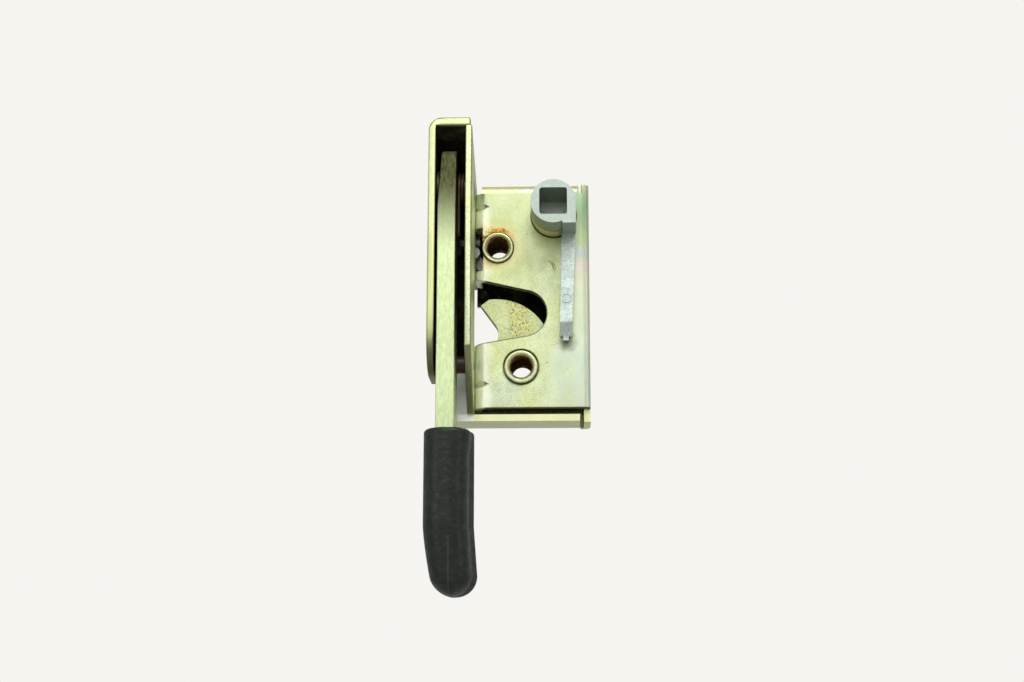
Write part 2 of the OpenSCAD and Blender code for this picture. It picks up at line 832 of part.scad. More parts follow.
// Stamped bar: a round head with a brow at its front, a lobe for the drive pin and a straight arm
module lever_bar() {
  color(passivated) difference() {
    union() {
      rod_x(pivot_y, pivot_z, head_r, lever_left, lever_right);
      rod_x(drive_y, drive_z, lobe_y_r, lever_left, lever_right);
      rod_x(brow[0], brow[1], brow_r, lever_left, lever_right);
      through_x(lever_left, lever_right) polygon([
        brow + brow_r * [-0.94, 0.32],
        brow + brow_r * [0.1, 0.97],
        [pivot_y + 0.4, pivot_z + head_r - 0.3],
        [pivot_y + head_r - 0.5, pivot_z + 1],
        [drive_y + lobe_y_r - 0.3, drive_z + 0.6],
        [drive_y - 1.5, drive_z - lobe_y_r + 0.6],
        [arm_back, drive_z - 6.5],
        [arm_back, bar_bottom],
        [arm_front, bar_bottom],
        [arm_front, 46]
      ]);
    }
    rod_x(pivot_y, pivot_z, pivot_r + run_gap, lever_left - 1, lever_right + 1);
    rod_x(drive_y, drive_z, drive_r + run_gap, lever_left - 1, lever_right + 1);
  }
}

module drive_pin() {
  color(steel_grey) rod_x(drive_y, drive_z, drive_r, lever_left, case_left + 1.2);
}

// Ring of points round a soft rectangle at height z, moved by shift and drawn in by inset
ring_n = 40;
function soft_ring(z, shift, inset) =
  let (r = max(grip_edge - inset, 0.4))
  [for (k = [0:ring_n - 1])
    let (a = 360 * (k + 0.5) / ring_n)
    [
      grip_x + shift[0] + sign(cos(a)) * (grip_w / 2 - inset - r) + r * cos(a),
      grip_y + shift[1] + sign(sin(a)) * (grip_d / 2 - inset - r) + r * sin(a),
      z
    ]];

// Moulded grip: one skin over soft rings, from its rounded foot to its lip, with a pocket for the bar
foot_r = 6;
lip_r = 1.2;
bend_h = 20;
low_shift = [1, 1];
module lever_grip() {
  rings = concat(
    [for (a = [80:-10:0]) soft_ring(grip_bottom + foot_r * (1 - sin(a)), low_shift, foot_r * (1 - cos(a)))],
    [soft_ring(grip_bottom + bend_h, [0, 0], 0)],
    [for (a = [0:15:75]) soft_ring(grip_top - lip_r * (1 - sin(a)), [0, 0], lip_r * (1 - cos(a)))]
  );
  last = len(rings) - 1;
  walls = [
    for (i = [0:last - 1], k = [0:ring_n - 1])
      let (n = (k + 1) % ring_n)
      [ring_n * i + k, ring_n * (i + 1) + k, ring_n * (i + 1) + n, ring_n * i + n]
  ];
  caps = [[for (k = [0:ring_n - 1]) k], [for (k = [ring_n - 1:-1:0]) ring_n * last + k]];
  color(grip_black) difference() {
    polyhedron([for (r = rings) each r], concat(walls, caps), convexity = 4);
    translate([lever_left - pocket_gap, arm_front - pocket_gap, bar_bottom - pocket_gap])
      cube([lever_t + 2 * pocket_gap, arm_back - arm_front + 2 * pocket_gap, grip_top - bar_bottom + 5]);
  }
}

front_plate();
back_plate();
base_plate();
lever_hood();
lower_sleeve();
upper_sleeve();
hub_collar();
spring_post();
case_rivets();
lever_pin();
lever_washer();
lever_bush();
stop_rivet();
stop_tube();
claw_washer();
hub_casting();
pawl();
pawl_retainer();
pawl_spring();
claw();
claw_spring();
lever_bar();
lever_grip();
drive_pin();
lever_spring();
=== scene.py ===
"""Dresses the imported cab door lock: passivated sheet, zinc hub, stamped lever and moulded grip."""

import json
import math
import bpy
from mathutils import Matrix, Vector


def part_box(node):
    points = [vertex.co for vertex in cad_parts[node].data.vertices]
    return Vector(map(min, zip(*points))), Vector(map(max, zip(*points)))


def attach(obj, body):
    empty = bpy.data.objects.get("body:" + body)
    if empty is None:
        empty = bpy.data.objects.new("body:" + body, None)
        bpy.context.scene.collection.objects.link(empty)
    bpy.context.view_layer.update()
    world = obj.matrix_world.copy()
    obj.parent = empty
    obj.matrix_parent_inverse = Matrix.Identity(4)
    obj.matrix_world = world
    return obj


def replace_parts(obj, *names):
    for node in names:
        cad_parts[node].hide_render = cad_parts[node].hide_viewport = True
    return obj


bl_info = {
    "name": "Cab Door Lock",
    "version": (1, 0, 0),
    "blender": (4, 5, 0),
    "location": "View3D > Sidebar > Door Lock",
    "description": "Builds the finished pieces of a rotary-claw door lock round its packed solids",
    "category": "Object",
}

import bmesh
import bpy
import numpy as np
from mathutils import Vector

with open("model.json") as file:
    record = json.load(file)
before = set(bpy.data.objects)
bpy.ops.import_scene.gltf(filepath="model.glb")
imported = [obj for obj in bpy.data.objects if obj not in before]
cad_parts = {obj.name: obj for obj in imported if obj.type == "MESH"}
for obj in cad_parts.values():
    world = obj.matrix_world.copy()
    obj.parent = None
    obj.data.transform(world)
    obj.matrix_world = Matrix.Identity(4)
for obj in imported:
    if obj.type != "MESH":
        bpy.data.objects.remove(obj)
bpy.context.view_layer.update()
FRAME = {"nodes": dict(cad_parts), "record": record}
BODY_OF = {n: b for b, nodes in FRAME["record"]["behaviour"]["bodies"].items() for n in nodes}
SLOT_OF = {s["node"]: s["material_slot"] for s in FRAME["record"]["subparts"]}
MM = 0.001

# Places of the axes along Y, and of marks on the front, as x and z
LOWER_SLEEVE = (0.0, 0.0)
UPPER_SLEEVE = (-7 * MM, 37 * MM)
HUB = (10 * MM, 47 * MM)
SPRING_POST = (9.3 * MM, 31 * MM)
POST_BURR = (7.8 * MM, 30.3 * MM)
EJECTOR_MARK = (13.86 * MM, 20.2 * MM)
# Middle of the painted shadow round the tip of the hub's arm
ARM_TIP_SHADE = (13.9 * MM, 7.6 * MM)

# Axis of the lever along X, as y and z
LEVER_PIN = (-4 * MM, 54 * MM)

# Front and back of the lever's arm inside the grip, along Y
BAR_FRONT = -16.0 * MM
BAR_BACK = -4.2 * MM

SLEEVE_BORE = 3.2 * MM
HOOD_ROUND = 4 * MM
GRIP_SEAM = -20 * MM
BEVEL_ANGLE = math.radians(40)

# Lower edge of the mouth: its rise along X, and its height at x = 0
MOUTH_SLOPE = 0.1686
MOUTH_LOW = 9.43 * MM

# Colours that several sheets share, as linear values: painted shade for the dark lines on the front
# edges, then painted shade for the faces inside the case and the hood
EDGE_SHADE = (0.11, 0.10, 0.04)
INSIDE_SHADE = (0.05, 0.045, 0.02)


class LockSizes(bpy.types.PropertyGroup):
    """Sizes of the finish that a user would change."""

    sheet_edge: bpy.props.FloatProperty(
        name="Sheet edge",
        description="Edge break of the pressed sheets",
        default=0.35 * MM,
        unit="LENGTH",
    )
    lever_edge: bpy.props.FloatProperty(
        name="Lever edge",
        description="Rounding of the stamped lever's edges",
        default=0.55 * MM,
        unit="LENGTH",
    )
    casting_edge: bpy.props.FloatProperty(
        name="Casting edge",
        description="Rounding of the die-cast hub's edges",
        default=0.35 * MM,
        unit="LENGTH",
    )
    wire: bpy.props.FloatProperty(
        name="Spring wire",
        description="Diameter of the case's spring wire",
        default=1.1 * MM,
        unit="LENGTH",
    )
    lever_wire: bpy.props.FloatProperty(
        name="Lever spring wire",
        description="Diameter of the lever's spring wire",
        default=0.9 * MM,
        unit="LENGTH",
    )
    camera_distance: bpy.props.FloatProperty(
        name="Camera distance",
        description="From the camera to the lock",
        default=0.48,
        unit="LENGTH",
    )
    camera_turn: bpy.props.FloatProperty(
        name="Camera turn",
        description="Camera's turn to the right",
        default=math.radians(2),
        subtype="ANGLE",
    )
    camera_rise: bpy.props.FloatProperty(
        name="Camera rise",
        description="Camera's height as an angle",
        default=math.radians(-12.6),
        subtype="ANGLE",
    )


class LockColours(bpy.types.PropertyGroup):
    """Colours of the finishes, as linear values."""

    straw: bpy.props.FloatVectorProperty(
        name="Straw",
        description="Main tone of the passivated zinc",
        default=(0.67, 0.73, 0.38),
        subtype="COLOR",
    )
    pale: bpy.props.FloatVectorProperty(
        name="Pale",
        description="Thin, paler film of passivation",
        default=(0.74, 0.82, 0.53),
        subtype="COLOR",
    )
    gold: bpy.props.FloatVectorProperty(
        name="Gold",
        description="Thick, golden film of passivation",
        default=(0.70, 0.60, 0.24),
        subtype="COLOR",
    )
    sheen: bpy.props.FloatVectorProperty(
        name="Sheen",
        description="Cool, iridescent film near the folds",
        default=(0.58, 0.66, 0.50),
        subtype="COLOR",
    )
    rust: bpy.props.FloatVectorProperty(
        name="Rust",
        description="Rust round the sleeves",
        default=(0.30, 0.13, 0.03),
        subtype="COLOR",
    )
    zinc: bpy.props.FloatVectorProperty(
        name="Zinc",
        description="Bare die casting",
        default=(0.68, 0.79, 0.72),
        subtype="COLOR",
    )
    steel: bpy.props.FloatVectorProperty(
        name="Steel",
        description="Plain plated steel",
        default=(0.36, 0.37, 0.33),
        subtype="COLOR",
    )
    grip: bpy.props.FloatVectorProperty(
        name="Grip",
        description="Black moulded grip",
        default=(0.011, 0.015, 0.011),
        subtype="COLOR",
    )
    backdrop: bpy.props.FloatVectorProperty(
        name="Backdrop",
        description="Pale background",
        default=(0.922, 0.905, 0.871),
        subtype="COLOR",
    )


def sizes():
    """The scene's sizes."""
    return bpy.context.scene.lock_sizes


def colours():
    """The scene's colours."""
    return bpy.context.scene.lock_colours


# Materials


def opaque(value):
    """A socket as it is, or a colour with full alpha."""
    return value if isinstance(value, bpy.types.NodeSocket) else (*value, 1.0)


class Finish:
    """A material under construction, with short calls for the nodes that the finishes share."""

    def __init__(self, name):
        self.material = bpy.data.materials.new(name)
        self.material.use_nodes = True
        self.tree = self.material.node_tree
        self.shader = self.tree.nodes["Principled BSDF"]
        self.place = self.add("ShaderNodeTexCoord").outputs["Object"]

    def add(self, kind, **settings):
        """New node of a kind, with its settings."""
        node = self.tree.nodes.new(kind)
        for key, value in settings.items():
            setattr(node, key, value)
        return node

    def feed(self, socket, value):
        """Links a socket, or sets a constant."""
        if isinstance(value, bpy.types.NodeSocket):
            self.tree.links.new(value, socket)
        else:
            socket.default_value = value

    def noise(self, scale, detail=3.0, rough=0.55, stretch=(1, 1, 1)):
        """Noise over the piece's own coordinates, scale in cycles per metre, stretched per axis."""
        mapping = self.add("ShaderNodeMapping")
        self.feed(mapping.inputs["Vector"], self.place)
        mapping.inputs["Scale"].default_value = stretch
        node = self.add("ShaderNodeTexNoise")
        self.feed(node.inputs["Vector"], mapping.outputs["Vector"])
        node.inputs["Scale"].default_value = scale
        node.inputs["Detail"].default_value = detail
        node.inputs["Roughness"].default_value = rough
        return node.outputs["Fac"]

    def ramp(self, value, low, high, out_low=0.0, out_high=1.0):
        """Smooth step from out_low to out_high while value goes from low to high."""
        node = self.add("ShaderNodeMapRange", interpolation_type="SMOOTHSTEP")
        given = {
            "Value": value,
            "From Min": low,
            "From Max": high,
            "To Min": out_low,
            "To Max": out_high,
        }
        for key, setting in given.items():
            self.feed(node.inputs[key], setting)
        return node.outputs["Result"]

    def fall(self, value, low, high, start=1.0):
        """Smooth fall from start to 0 while value goes from low to high."""
        return self.ramp(value, low, high, start, 0.0)

    def math(self, operation, a, b=0.0):
        """Result of one operation on one or two values."""
        node = self.add("ShaderNodeMath", operation=operation)
        self.feed(node.inputs[0], a)
        self.feed(node.inputs[1], b)
        return node.outputs[0]

    def times(self, first, *others):
        """Product of values."""
        for other in others:
            first = self.math("MULTIPLY", first, other)
        return first

    def length(self, a, b):
        """Distance that two steps at right angles make."""
        return self.math("SQRT", self.math("ADD", self.times(a, a), self.times(b, b)))

    def mix(self, factor, a, b, blend="MIX"):
        """Colour mix of a and b."""
        node = self.add("ShaderNodeMix", data_type="RGBA", blend_type=blend)
        self.feed(node.inputs[0], factor)
        for index, value in ((6, a), (7, b)):
            self.feed(node.inputs[index], opaque(value))
        return node.outputs[2]

    def axis(self, name):
        """One of the piece's own coordinates, in metres."""
        node = self.add("ShaderNodeSeparateXYZ")
        self.feed(node.inputs[0], self.place)
        return node.outputs[name]

    def from_axis(self, x, z):
        """Distance from a line along Y through x and z, in metres."""
        dx = self.math("SUBTRACT", self.axis("X"), x)
        dz = self.math("SUBTRACT", self.axis("Z"), z)
        return self.length(dx, dz)

    def facing(self, axis_name):
        """Component of the true surface normal along one axis of the piece."""
        geometry = self.add("ShaderNodeNewGeometry")
        turn = self.add("ShaderNodeVectorTransform", vector_type="NORMAL")
        turn.convert_from, turn.convert_to = "WORLD", "OBJECT"
        self.feed(turn.inputs[0], geometry.outputs["True Normal"])
        node = self.add("ShaderNodeSeparateXYZ")
        self.feed(node.inputs[0], turn.outputs[0])
        return node.outputs[axis_name]

    def bump(self, height, distance, strength=1.0):
        """Fine relief in the shading only, where a height of 1 stands for distance in metres."""
        node = self.add("ShaderNodeBump")
        self.feed(node.inputs["Height"], height)
        node.inputs["Distance"].default_value = distance
        node.inputs["Strength"].default_value = strength
        self.feed(self.shader.inputs["Normal"], node.outputs["Normal"])

    def done(self, colour, roughness, metallic, specular=0.5):
        """Feeds the shader's own sockets and gives the material."""
        self.feed(self.shader.inputs["Base Color"], opaque(colour))
        self.feed(self.shader.inputs["Roughness"], roughness)
        self.feed(self.shader.inputs["Metallic"], metallic)
        self.feed(self.shader.inputs["Specular IOR Level"], specular)
        return self.material

    def dulled(self, colour, roughness, metallic, inner, dull, gloss):
        """Ends a metal finish that is dull, with no metal in it, where inner is 1."""
        return self.done(
            colour,
            self.math("MAXIMUM", roughness, self.times(inner, dull)),
            self.fall(inner, 0.0, 1.0, metallic),
            self.ramp(inner, 0.0, 1.0, 0.5, gloss),
        )


def passivated_film(f, patch=90.0, cool=0.5):
    """Colour of the passivated zinc: straw with paler, golden and cool clouds and fine speckle."""
    c = colours()
    film = f.mix(f.ramp(f.noise(patch, 4.0), 0.42, 0.66), c.straw, c.pale)
    golden = f.ramp(f.noise(patch * 2.3, 5.0, 0.65), 0.60, 0.78, 0.0, 0.45)
    film = f.mix(golden, film, c.gold)
    iridescent = f.ramp(f.noise(patch * 0.6, 2.0), 0.50, 0.68, 0.0, cool)
    film = f.mix(iridescent, film, c.sheen)
    mottle = f.mix(1.0, film, (0.88, 0.90, 0.85), "MULTIPLY")
    film = f.mix(f.fall(f.noise(650.0, 4.0, 0.7), 0.36, 0.52), film, mottle)
    dark = f.mix(1.0, film, (0.74, 0.77, 0.72), "MULTIPLY")
    return f.mix(f.ramp(f.noise(2600.0, 2.0), 0.33, 0.58), dark, film)


def front_edge(f):
    """1 on the broken edges round a face that looks forward, 0 on the face and its sides."""
    front = f.facing("Y")
    return f.times(f.ramp(front, -0.97, -0.92), f.fall(front, -0.3, -0.2))


def pressed_bump(f):
    """Drawn grain over the slow waves that pressing leaves in a sheet."""
    grain = f.noise(900.0, 3.0, 0.6, (1.0, 1.0, 0.25))
    waves = f.times(f.noise(75.0, 1.0, 0.4), 9.0)
    f.bump(f.math("ADD", grain, waves), 0.03 * MM, 0.8)


def with_painted_shade(f, film, inner, tone=INSIDE_SHADE, lines=0.75):
    """Ends a sheet finish whose hidden faces, where inner is 1, are dull and dark with painted
    shade.
    Painted shade darkens the front edges by the share that lines gives."""
    film = f.mix(f.times(front_edge(f), lines), film, EDGE_SHADE)
    shade_tone = f.mix(f.ramp(f.noise(240.0, 5.0, 0.7), 0.45, 0.7), (0.010, 0.009, 0.005), tone)
    # Painted shade on the faces where inner is 1: near black, with the tone in patches
    film = f.mix(inner, film, shade_tone)
    pressed_bump(f)
    satin = f.ramp(f.noise(260.0, 3.0), 0.3, 0.7, 0.33, 0.46)
    return f.dulled(film, satin, 0.55, inner, 0.9, 0.08)


def sheet_finish():
    """Passivated sheet of the back plate, with painted shade inside the case, and painted light on
    its ear, its low lip and the faces that look down.
    """
    f = Finish("passivated_sheet")
    film = passivated_film(f)
    front = f.fall(f.facing("Y"), -0.8, -0.5)
    case = f.ramp(f.axis("X"), -14.2 * MM, -13.8 * MM)
    above = f.ramp(f.axis("Z"), -12 * MM, -10 * MM)
    # Painted light: the ear, left of the case, is made pale
    ear = f.times(front, f.math("SUBTRACT", 1.0, case), 0.85)
    film = f.mix(ear, film, (0.86, 0.91, 0.86))
    # Painted light: the low lip at the front is made pale
    lip = f.times(front, f.math("SUBTRACT", 1.0, above), case, 0.7)
    film = f.mix(lip, film, (0.84, 0.82, 0.48))
    # Painted light: the faces that look down are made paler
    film = f.mix(f.fall(f.facing("Z"), -0.8, -0.5, 0.6), film, (0.90, 0.92, 0.58))
    # Tone of the painted shade inside the case, olive towards the left
    olive = f.mix(f.ramp(f.axis("X"), -13 * MM, 1 * MM), (0.26, 0.27, 0.11), INSIDE_SHADE)
    return with_painted_shade(f, film, f.times(front, case, above), olive, 0.0)


def hood_finish():
    """Passivated sheet whose inner faces, deeper than the hood's rim, are dark with painted shade.
    Two lines of painted shade follow the rim round its upper left corner."""
    f = Finish("passivated_hood")
    x, y, z = f.axis("X"), f.axis("Y"), f.axis("Z")
    front = f.facing("Y")
    film = f.mix(0.4, passivated_film(f, cool=0.1), (0.88, 0.92, 0.46))
    # Masks of the faces inside the hood, which take painted shade
    under = f.times(f.fall(f.facing("Z"), -0.5, -0.2), f.ramp(x, -25.2 * MM, -24.9 * MM))
    wall = f.times(f.ramp(f.facing("X"), 0.5, 0.8), f.fall(x, -24 * MM, -23 * MM))
    deep = f.times(f.ramp(y, -16.8 * MM, -15.5 * MM), f.math("MAXIMUM", wall, under))
    back = f.times(f.fall(front, -0.8, -0.5), f.ramp(y, -8 * MM, -6 * MM))
    inner = f.math("MAXIMUM", deep, f.times(back, f.fall(x, -16 * MM, -15.5 * MM)))
    left = f.fall(x, -24 * MM, -22 * MM)
    film = f.mix(f.times(left, f.fall(z, 8 * MM, 50 * MM, 0.55)), film, (0.52, 0.56, 0.20))
    film = f.mix(f.times(left, f.fall(z, 1 * MM, 14 * MM, 0.85)), film, (0.13, 0.13, 0.06))
    low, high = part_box("lever_hood")
    aside = f.math("MAXIMUM", f.math("SUBTRACT", low.x + HOOD_ROUND, x), 0.0)
    over = f.math("MAXIMUM", f.math("SUBTRACT", z, high.z - HOOD_ROUND), 0.0)
    reach = f.length(aside, over)
    # Painted shade in two lines along the rim's edges
    rim = f.times(f.fall(front, -0.96, -0.9), f.fall(y, -13 * MM, -12 * MM))
    outer_line = f.ramp(reach, 3.5 * MM, 3.85 * MM, 0.0, 0.75)
    inner_line = f.fall(reach, 2.05 * MM, 2.4 * MM, 0.6)
    lines = f.times(f.math("ADD", outer_line, inner_line), f.ramp(reach, 1.5 * MM, 1.9 * MM))
    return with_painted_shade(f, f.mix(f.times(rim, lines), film, EDGE_SHADE), inner)


def base_finish():
    """Passivated sheet whose left face, inside the hood, is dark with painted shade in patches of
    rust brown, with rusty wear.
    """
    f = Finish("passivated_base")
    film = passivated_film(f, cool=0.2)
    # Painted shade on the left face inside the hood, in patches of rust brown
    return with_painted_shade(f, film, f.fall(f.facing("X"), -0.8, -0.5), (0.12, 0.035, 0.010))


def iridescent_bands(f, film, x, height):
    """Film colours of the upright strip beside the right edge, each fading away from its middle."""
    strip = f.times(f.ramp(x, 14.2 * MM, 16.8 * MM), f.fall(x, 20.0 * MM, 20.7 * MM))
    bands = (
        (58 * MM, 13 * MM, (0.24, 0.40, 0.26)),
        (45 * MM, 5 * MM, (0.50, 0.56, 0.60)),
        (39 * MM, 5 * MM, (0.70, 0.61, 0.58)),
        (32 * MM, 6 * MM, (0.74, 0.66, 0.46)),
    )
    for middle, reach, tone in bands:
        away = f.math("ABSOLUTE", f.math("SUBTRACT", height, middle))
        film = f.mix(f.times(strip, f.fall(away, 0.0, reach, 0.9)), film, tone)
    return f.mix(f.times(strip, f.fall(height, 30 * MM, 40 * MM, 0.75)), film, (0.66, 0.73, 0.56))


def sleeve_rust_and_shade(f, film, x, z, ragged):
    """Rust round the upper sleeve: a stain that is stronger up to the left, a crust on that side
    and painted shade in the gap against the sleeve."""
    away = f.from_axis(*UPPER_SLEEVE)
    reach = f.math("ADD", away, ragged)
    slant = f.math("SUBTRACT", z, x)
    lean = f.ramp(slant, 38 * MM, 50 * MM, 0.35, 1.0)
    film = f.mix(f.times(lean, f.fall(reach, 7.4 * MM, 14 * MM, 0.75)), film, (0.66, 0.52, 0.16))
    patchy = f.ramp(f.noise(190.0, 3.0, 0.6), 0.40, 0.58, 0.15, 1.0)
    stain = f.times(lean, patchy, f.fall(reach, 8.0 * MM, 9.8 * MM, 0.8))
    film = f.mix(stain, film, (0.46, 0.21, 0.025))
    crust = f.times(f.ramp(slant, 44 * MM, 48 * MM), f.fall(reach, 8.9 * MM, 9.5 * MM))
    grain = f.ramp(f.noise(900.0, 4.0, 0.7), 0.42, 0.58)
    film = f.mix(crust, film, f.mix(grain, (0.20, 0.07, 0.01), (0.62, 0.34, 0.04)))
    # Painted shade in the gap against the sleeve
    return f.mix(f.fall(away, 4.8 * MM, 5.1 * MM, 0.95), film, (0.03, 0.012, 0.006))


def front_shade_and_spots(f, film, x, z, ragged):
    """Darker halos round the lower sleeve and the collar, a rust-brown ring with painted shade in
    the gap round the lower sleeve, painted shade at the collar's foot, a painted shadow round the
    arm's tip, painted shade along the mouth's lower edge and a few spots of dirt."""
    sleeve = f.from_axis(*LOWER_SLEEVE)
    halo = f.fall(f.math("ADD", sleeve, ragged), 6.8 * MM, 9.4 * MM, 0.6)
    film = f.mix(halo, film, (0.40, 0.36, 0.14))
    # Rust-brown ring with painted shade, in the gap round the lower sleeve
    film = f.mix(f.fall(sleeve, 5.1 * MM, 5.5 * MM, 0.9), film, (0.13, 0.045, 0.008))
    hub = f.from_axis(*HUB)
    halo = f.fall(f.math("ADD", hub, ragged), 8.6 * MM, 13 * MM, 0.5)
    film = f.mix(halo, film, (0.36, 0.35, 0.14))
    # Painted shade at the collar's foot
    film = f.mix(f.fall(hub, 6.9 * MM, 7.3 * MM, 0.95), film, (0.05, 0.02, 0.008))
    # Painted shadow round the arm's tip
    tip_shadow = f.math("ADD", f.from_axis(*ARM_TIP_SHADE), f.times(ragged, 0.8))
    film = f.mix(f.fall(tip_shadow, 3.0 * MM, 6.4 * MM, 0.8), film, (0.12, 0.13, 0.10))
    # Painted shade along the mouth's lower edge
    over = f.math("SUBTRACT", z, f.math("ADD", f.times(x, MOUTH_SLOPE), MOUTH_LOW))
    edge = f.times(f.ramp(over, -0.5 * MM, -0.15 * MM), f.fall(over, 0.2 * MM, 0.5 * MM, 0.85))
    film = f.mix(f.times(edge, f.fall(x, 0.0, 4 * MM)), film, (0.09, 0.08, 0.03))
    return f.mix(f.ramp(f.noise(210.0, 2.0, 0.4), 0.76, 0.80), film, (0.20, 0.18, 0.08))


def front_finish():
    """The front plate: rust round the upper sleeve, darker halos and painted shade round the lower
    one and the collar, upright bands of iridescent film beside the right edge, a painted highlight
    along the left fold, and painted shade on the faces inside the case and on the mouth's edges."""
    c = colours()
    f = Finish("passivated_front")
    x, z = f.axis("X"), f.axis("Z")
    film = passivated_film(f)
    film = f.mix(f.ramp(z, 12 * MM, 44 * MM, 0.0, 0.45), film, (0.44, 0.52, 0.28))
    height = f.math("ADD", z, f.times(f.noise(70.0, 3.0), 16 * MM))
    film = iridescent_bands(f, film, x, height)
    corner = f.times(f.ramp(x, 2 * MM, 14 * MM), f.fall(height, 14 * MM, 26 * MM, 0.8))
    clouds = f.ramp(f.noise(150.0, 4.0), 0.35, 0.6, 0.3, 1.0)
    film = f.mix(f.times(corner, clouds), film, (0.56, 0.66, 0.53))
    film = f.mix(f.fall(z, -12.6 * MM, -11.6 * MM, 0.8), film, (0.42, 0.32, 0.12))
    ochre = f.ramp(f.noise(110.0, 4.0), 0.4, 0.6, 0.25, 0.9)
    film = f.mix(f.times(f.ramp(z, 54.5 * MM, 57.0 * MM), ochre), film, c.gold)
    # Painted highlight along the left fold, with a ragged edge
    fold = f.math("ADD", x, f.times(f.noise(130.0, 3.0), 5 * MM))
    fold_highlight = f.times(f.fall(fold, -9.0 * MM, -5.6 * MM, 0.85), f.fall(z, 50 * MM, 53 * MM))
    film = f.mix(fold_highlight, film, (0.90, 0.91, 0.76))
    ragged = f.times(f.noise(420.0, 5.0, 0.75), 6.0 * MM)
    film = sleeve_rust_and_shade(f, film, x, z, ragged)
    film = front_shade_and_spots(f, film, x, z, ragged)
    # Painted shade on the faces that look down in the mouth and on the faces inside the case
    below = f.times(f.fall(f.facing("Z"), -0.3, -0.1), f.ramp(x, -11.5 * MM, -10.5 * MM), 0.8)
    inner = f.math("MAXIMUM", below, f.ramp(f.facing("Y"), 0.5, 0.8))
    # Painted shade lines on the front edges round the mouth
    tall = f.times(f.ramp(z, 6 * MM, 7 * MM), f.fall(z, 27 * MM, 28 * MM, 0.8))
    mouth = f.times(tall, f.ramp(x, -11 * MM, -10 * MM), f.fall(x, 9 * MM, 10 * MM))
    return with_painted_shade(f, film, inner, lines=mouth)


def turned_finish(name, x, z, bore):
    """Passivated turned steel, with rust inside the bore round the axis through x and z."""
    c = colours()
    f = Finish(name)
    film = passivated_film(f, 140.0)
    inside = f.fall(f.from_axis(x, z), bore + 0.15 * MM, bore + 0.8 * MM)
    brown = f.mix(f.ramp(f.noise(700.0, 4.0, 0.7), 0.4, 0.7), (0.05, 0.016, 0.006), c.rust)
    film = f.mix(f.times(inside, f.ramp(f.noise(300.0, 3.0), 0.25, 0.55, 0.7, 1.0)), film, brown)
    f.bump(f.noise(1500.0, 3.0), 0.03 * MM, 0.5)
    satin = f.ramp(f.noise(500.0), 0.3, 0.7, 0.32, 0.5)
    return f.dulled(film, satin, 0.6, inside, 0.95, 0.02)


def claw_finish():
    """Thick stamped claw with a rough film, golden scale along the throat, painted shade between its
    flakes and painted shade on its edges.
    """
    f = Finish("passivated_claw")
    film = passivated_film(f, 120.0)
    # Where the golden scale gathers, round two spots by the throat
    upper = f.fall(f.from_axis(-1.7 * MM, 18.7 * MM), 1.0 * MM, 5.5 * MM)
    lower = f.fall(f.from_axis(-0.4 * MM, 12.5 * MM), 1.0 * MM, 5.0 * MM)
    shade_and_scale = f.ramp(f.math("MAXIMUM", upper, lower), 0.0, 0.6, 0.15, 1.0)
    patch = f.times(shade_and_scale, f.ramp(f.noise(260.0, 3.0), 0.36, 0.50))
    scale = f.noise(1700.0, 4.0, 0.6, (1.0, 1.0, 0.6))
    flakes = f.times(patch, f.ramp(scale, 0.50, 0.56))
    # Painted shade in the hollows between the flakes
    flake_shade = f.times(patch, f.fall(scale, 0.38, 0.45, 0.75))
    film = f.mix(flakes, film, (0.90, 0.80, 0.26))
    film = f.mix(flake_shade, film, (0.16, 0.12, 0.03))
    # Painted shade on the edges, sides and back, all faces that don't look forward
    film = f.mix(f.ramp(f.facing("Y"), -0.97, -0.92, 0.0, 0.88), film, (0.07, 0.075, 0.025))
    grain = f.times(f.math("SUBTRACT", scale, 0.5), f.math("ADD", f.times(patch, 3.0), 0.5))
    f.bump(grain, 0.12 * MM, 0.9)
    return f.done(film, f.ramp(scale, 0.35, 0.7, 0.36, 0.55), 0.4)


def collar_finish():
    """Golden bearing collar with painted shade in the seam against the hub and painted shade, tinted
    brown, at its foot.
    """
    f = Finish("passivated_collar")
    film = f.mix(f.ramp(f.noise(240.0, 4.0), 0.3, 0.7), (0.50, 0.48, 0.20), (0.68, 0.64, 0.32))
    y = f.axis("Y")
    # Painted shade, tinted brown, at the collar's foot against the plate
    film = f.mix(f.ramp(y, -0.9 * MM, -0.4 * MM, 0.0, 0.95), film, (0.07, 0.025, 0.008))
    # Painted shade in the seam against the hub
    film = f.mix(f.fall(y, -6.1 * MM, -5.6 * MM, 0.95), film, (0.03, 0.025, 0.015))
    f.bump(f.noise(900.0, 3.0, 0.6, (1.0, 0.2, 1.0)), 0.03 * MM, 0.5)
    return f.done(film, f.ramp(f.noise(500.0), 0.3, 0.7, 0.32, 0.48), 0.6)


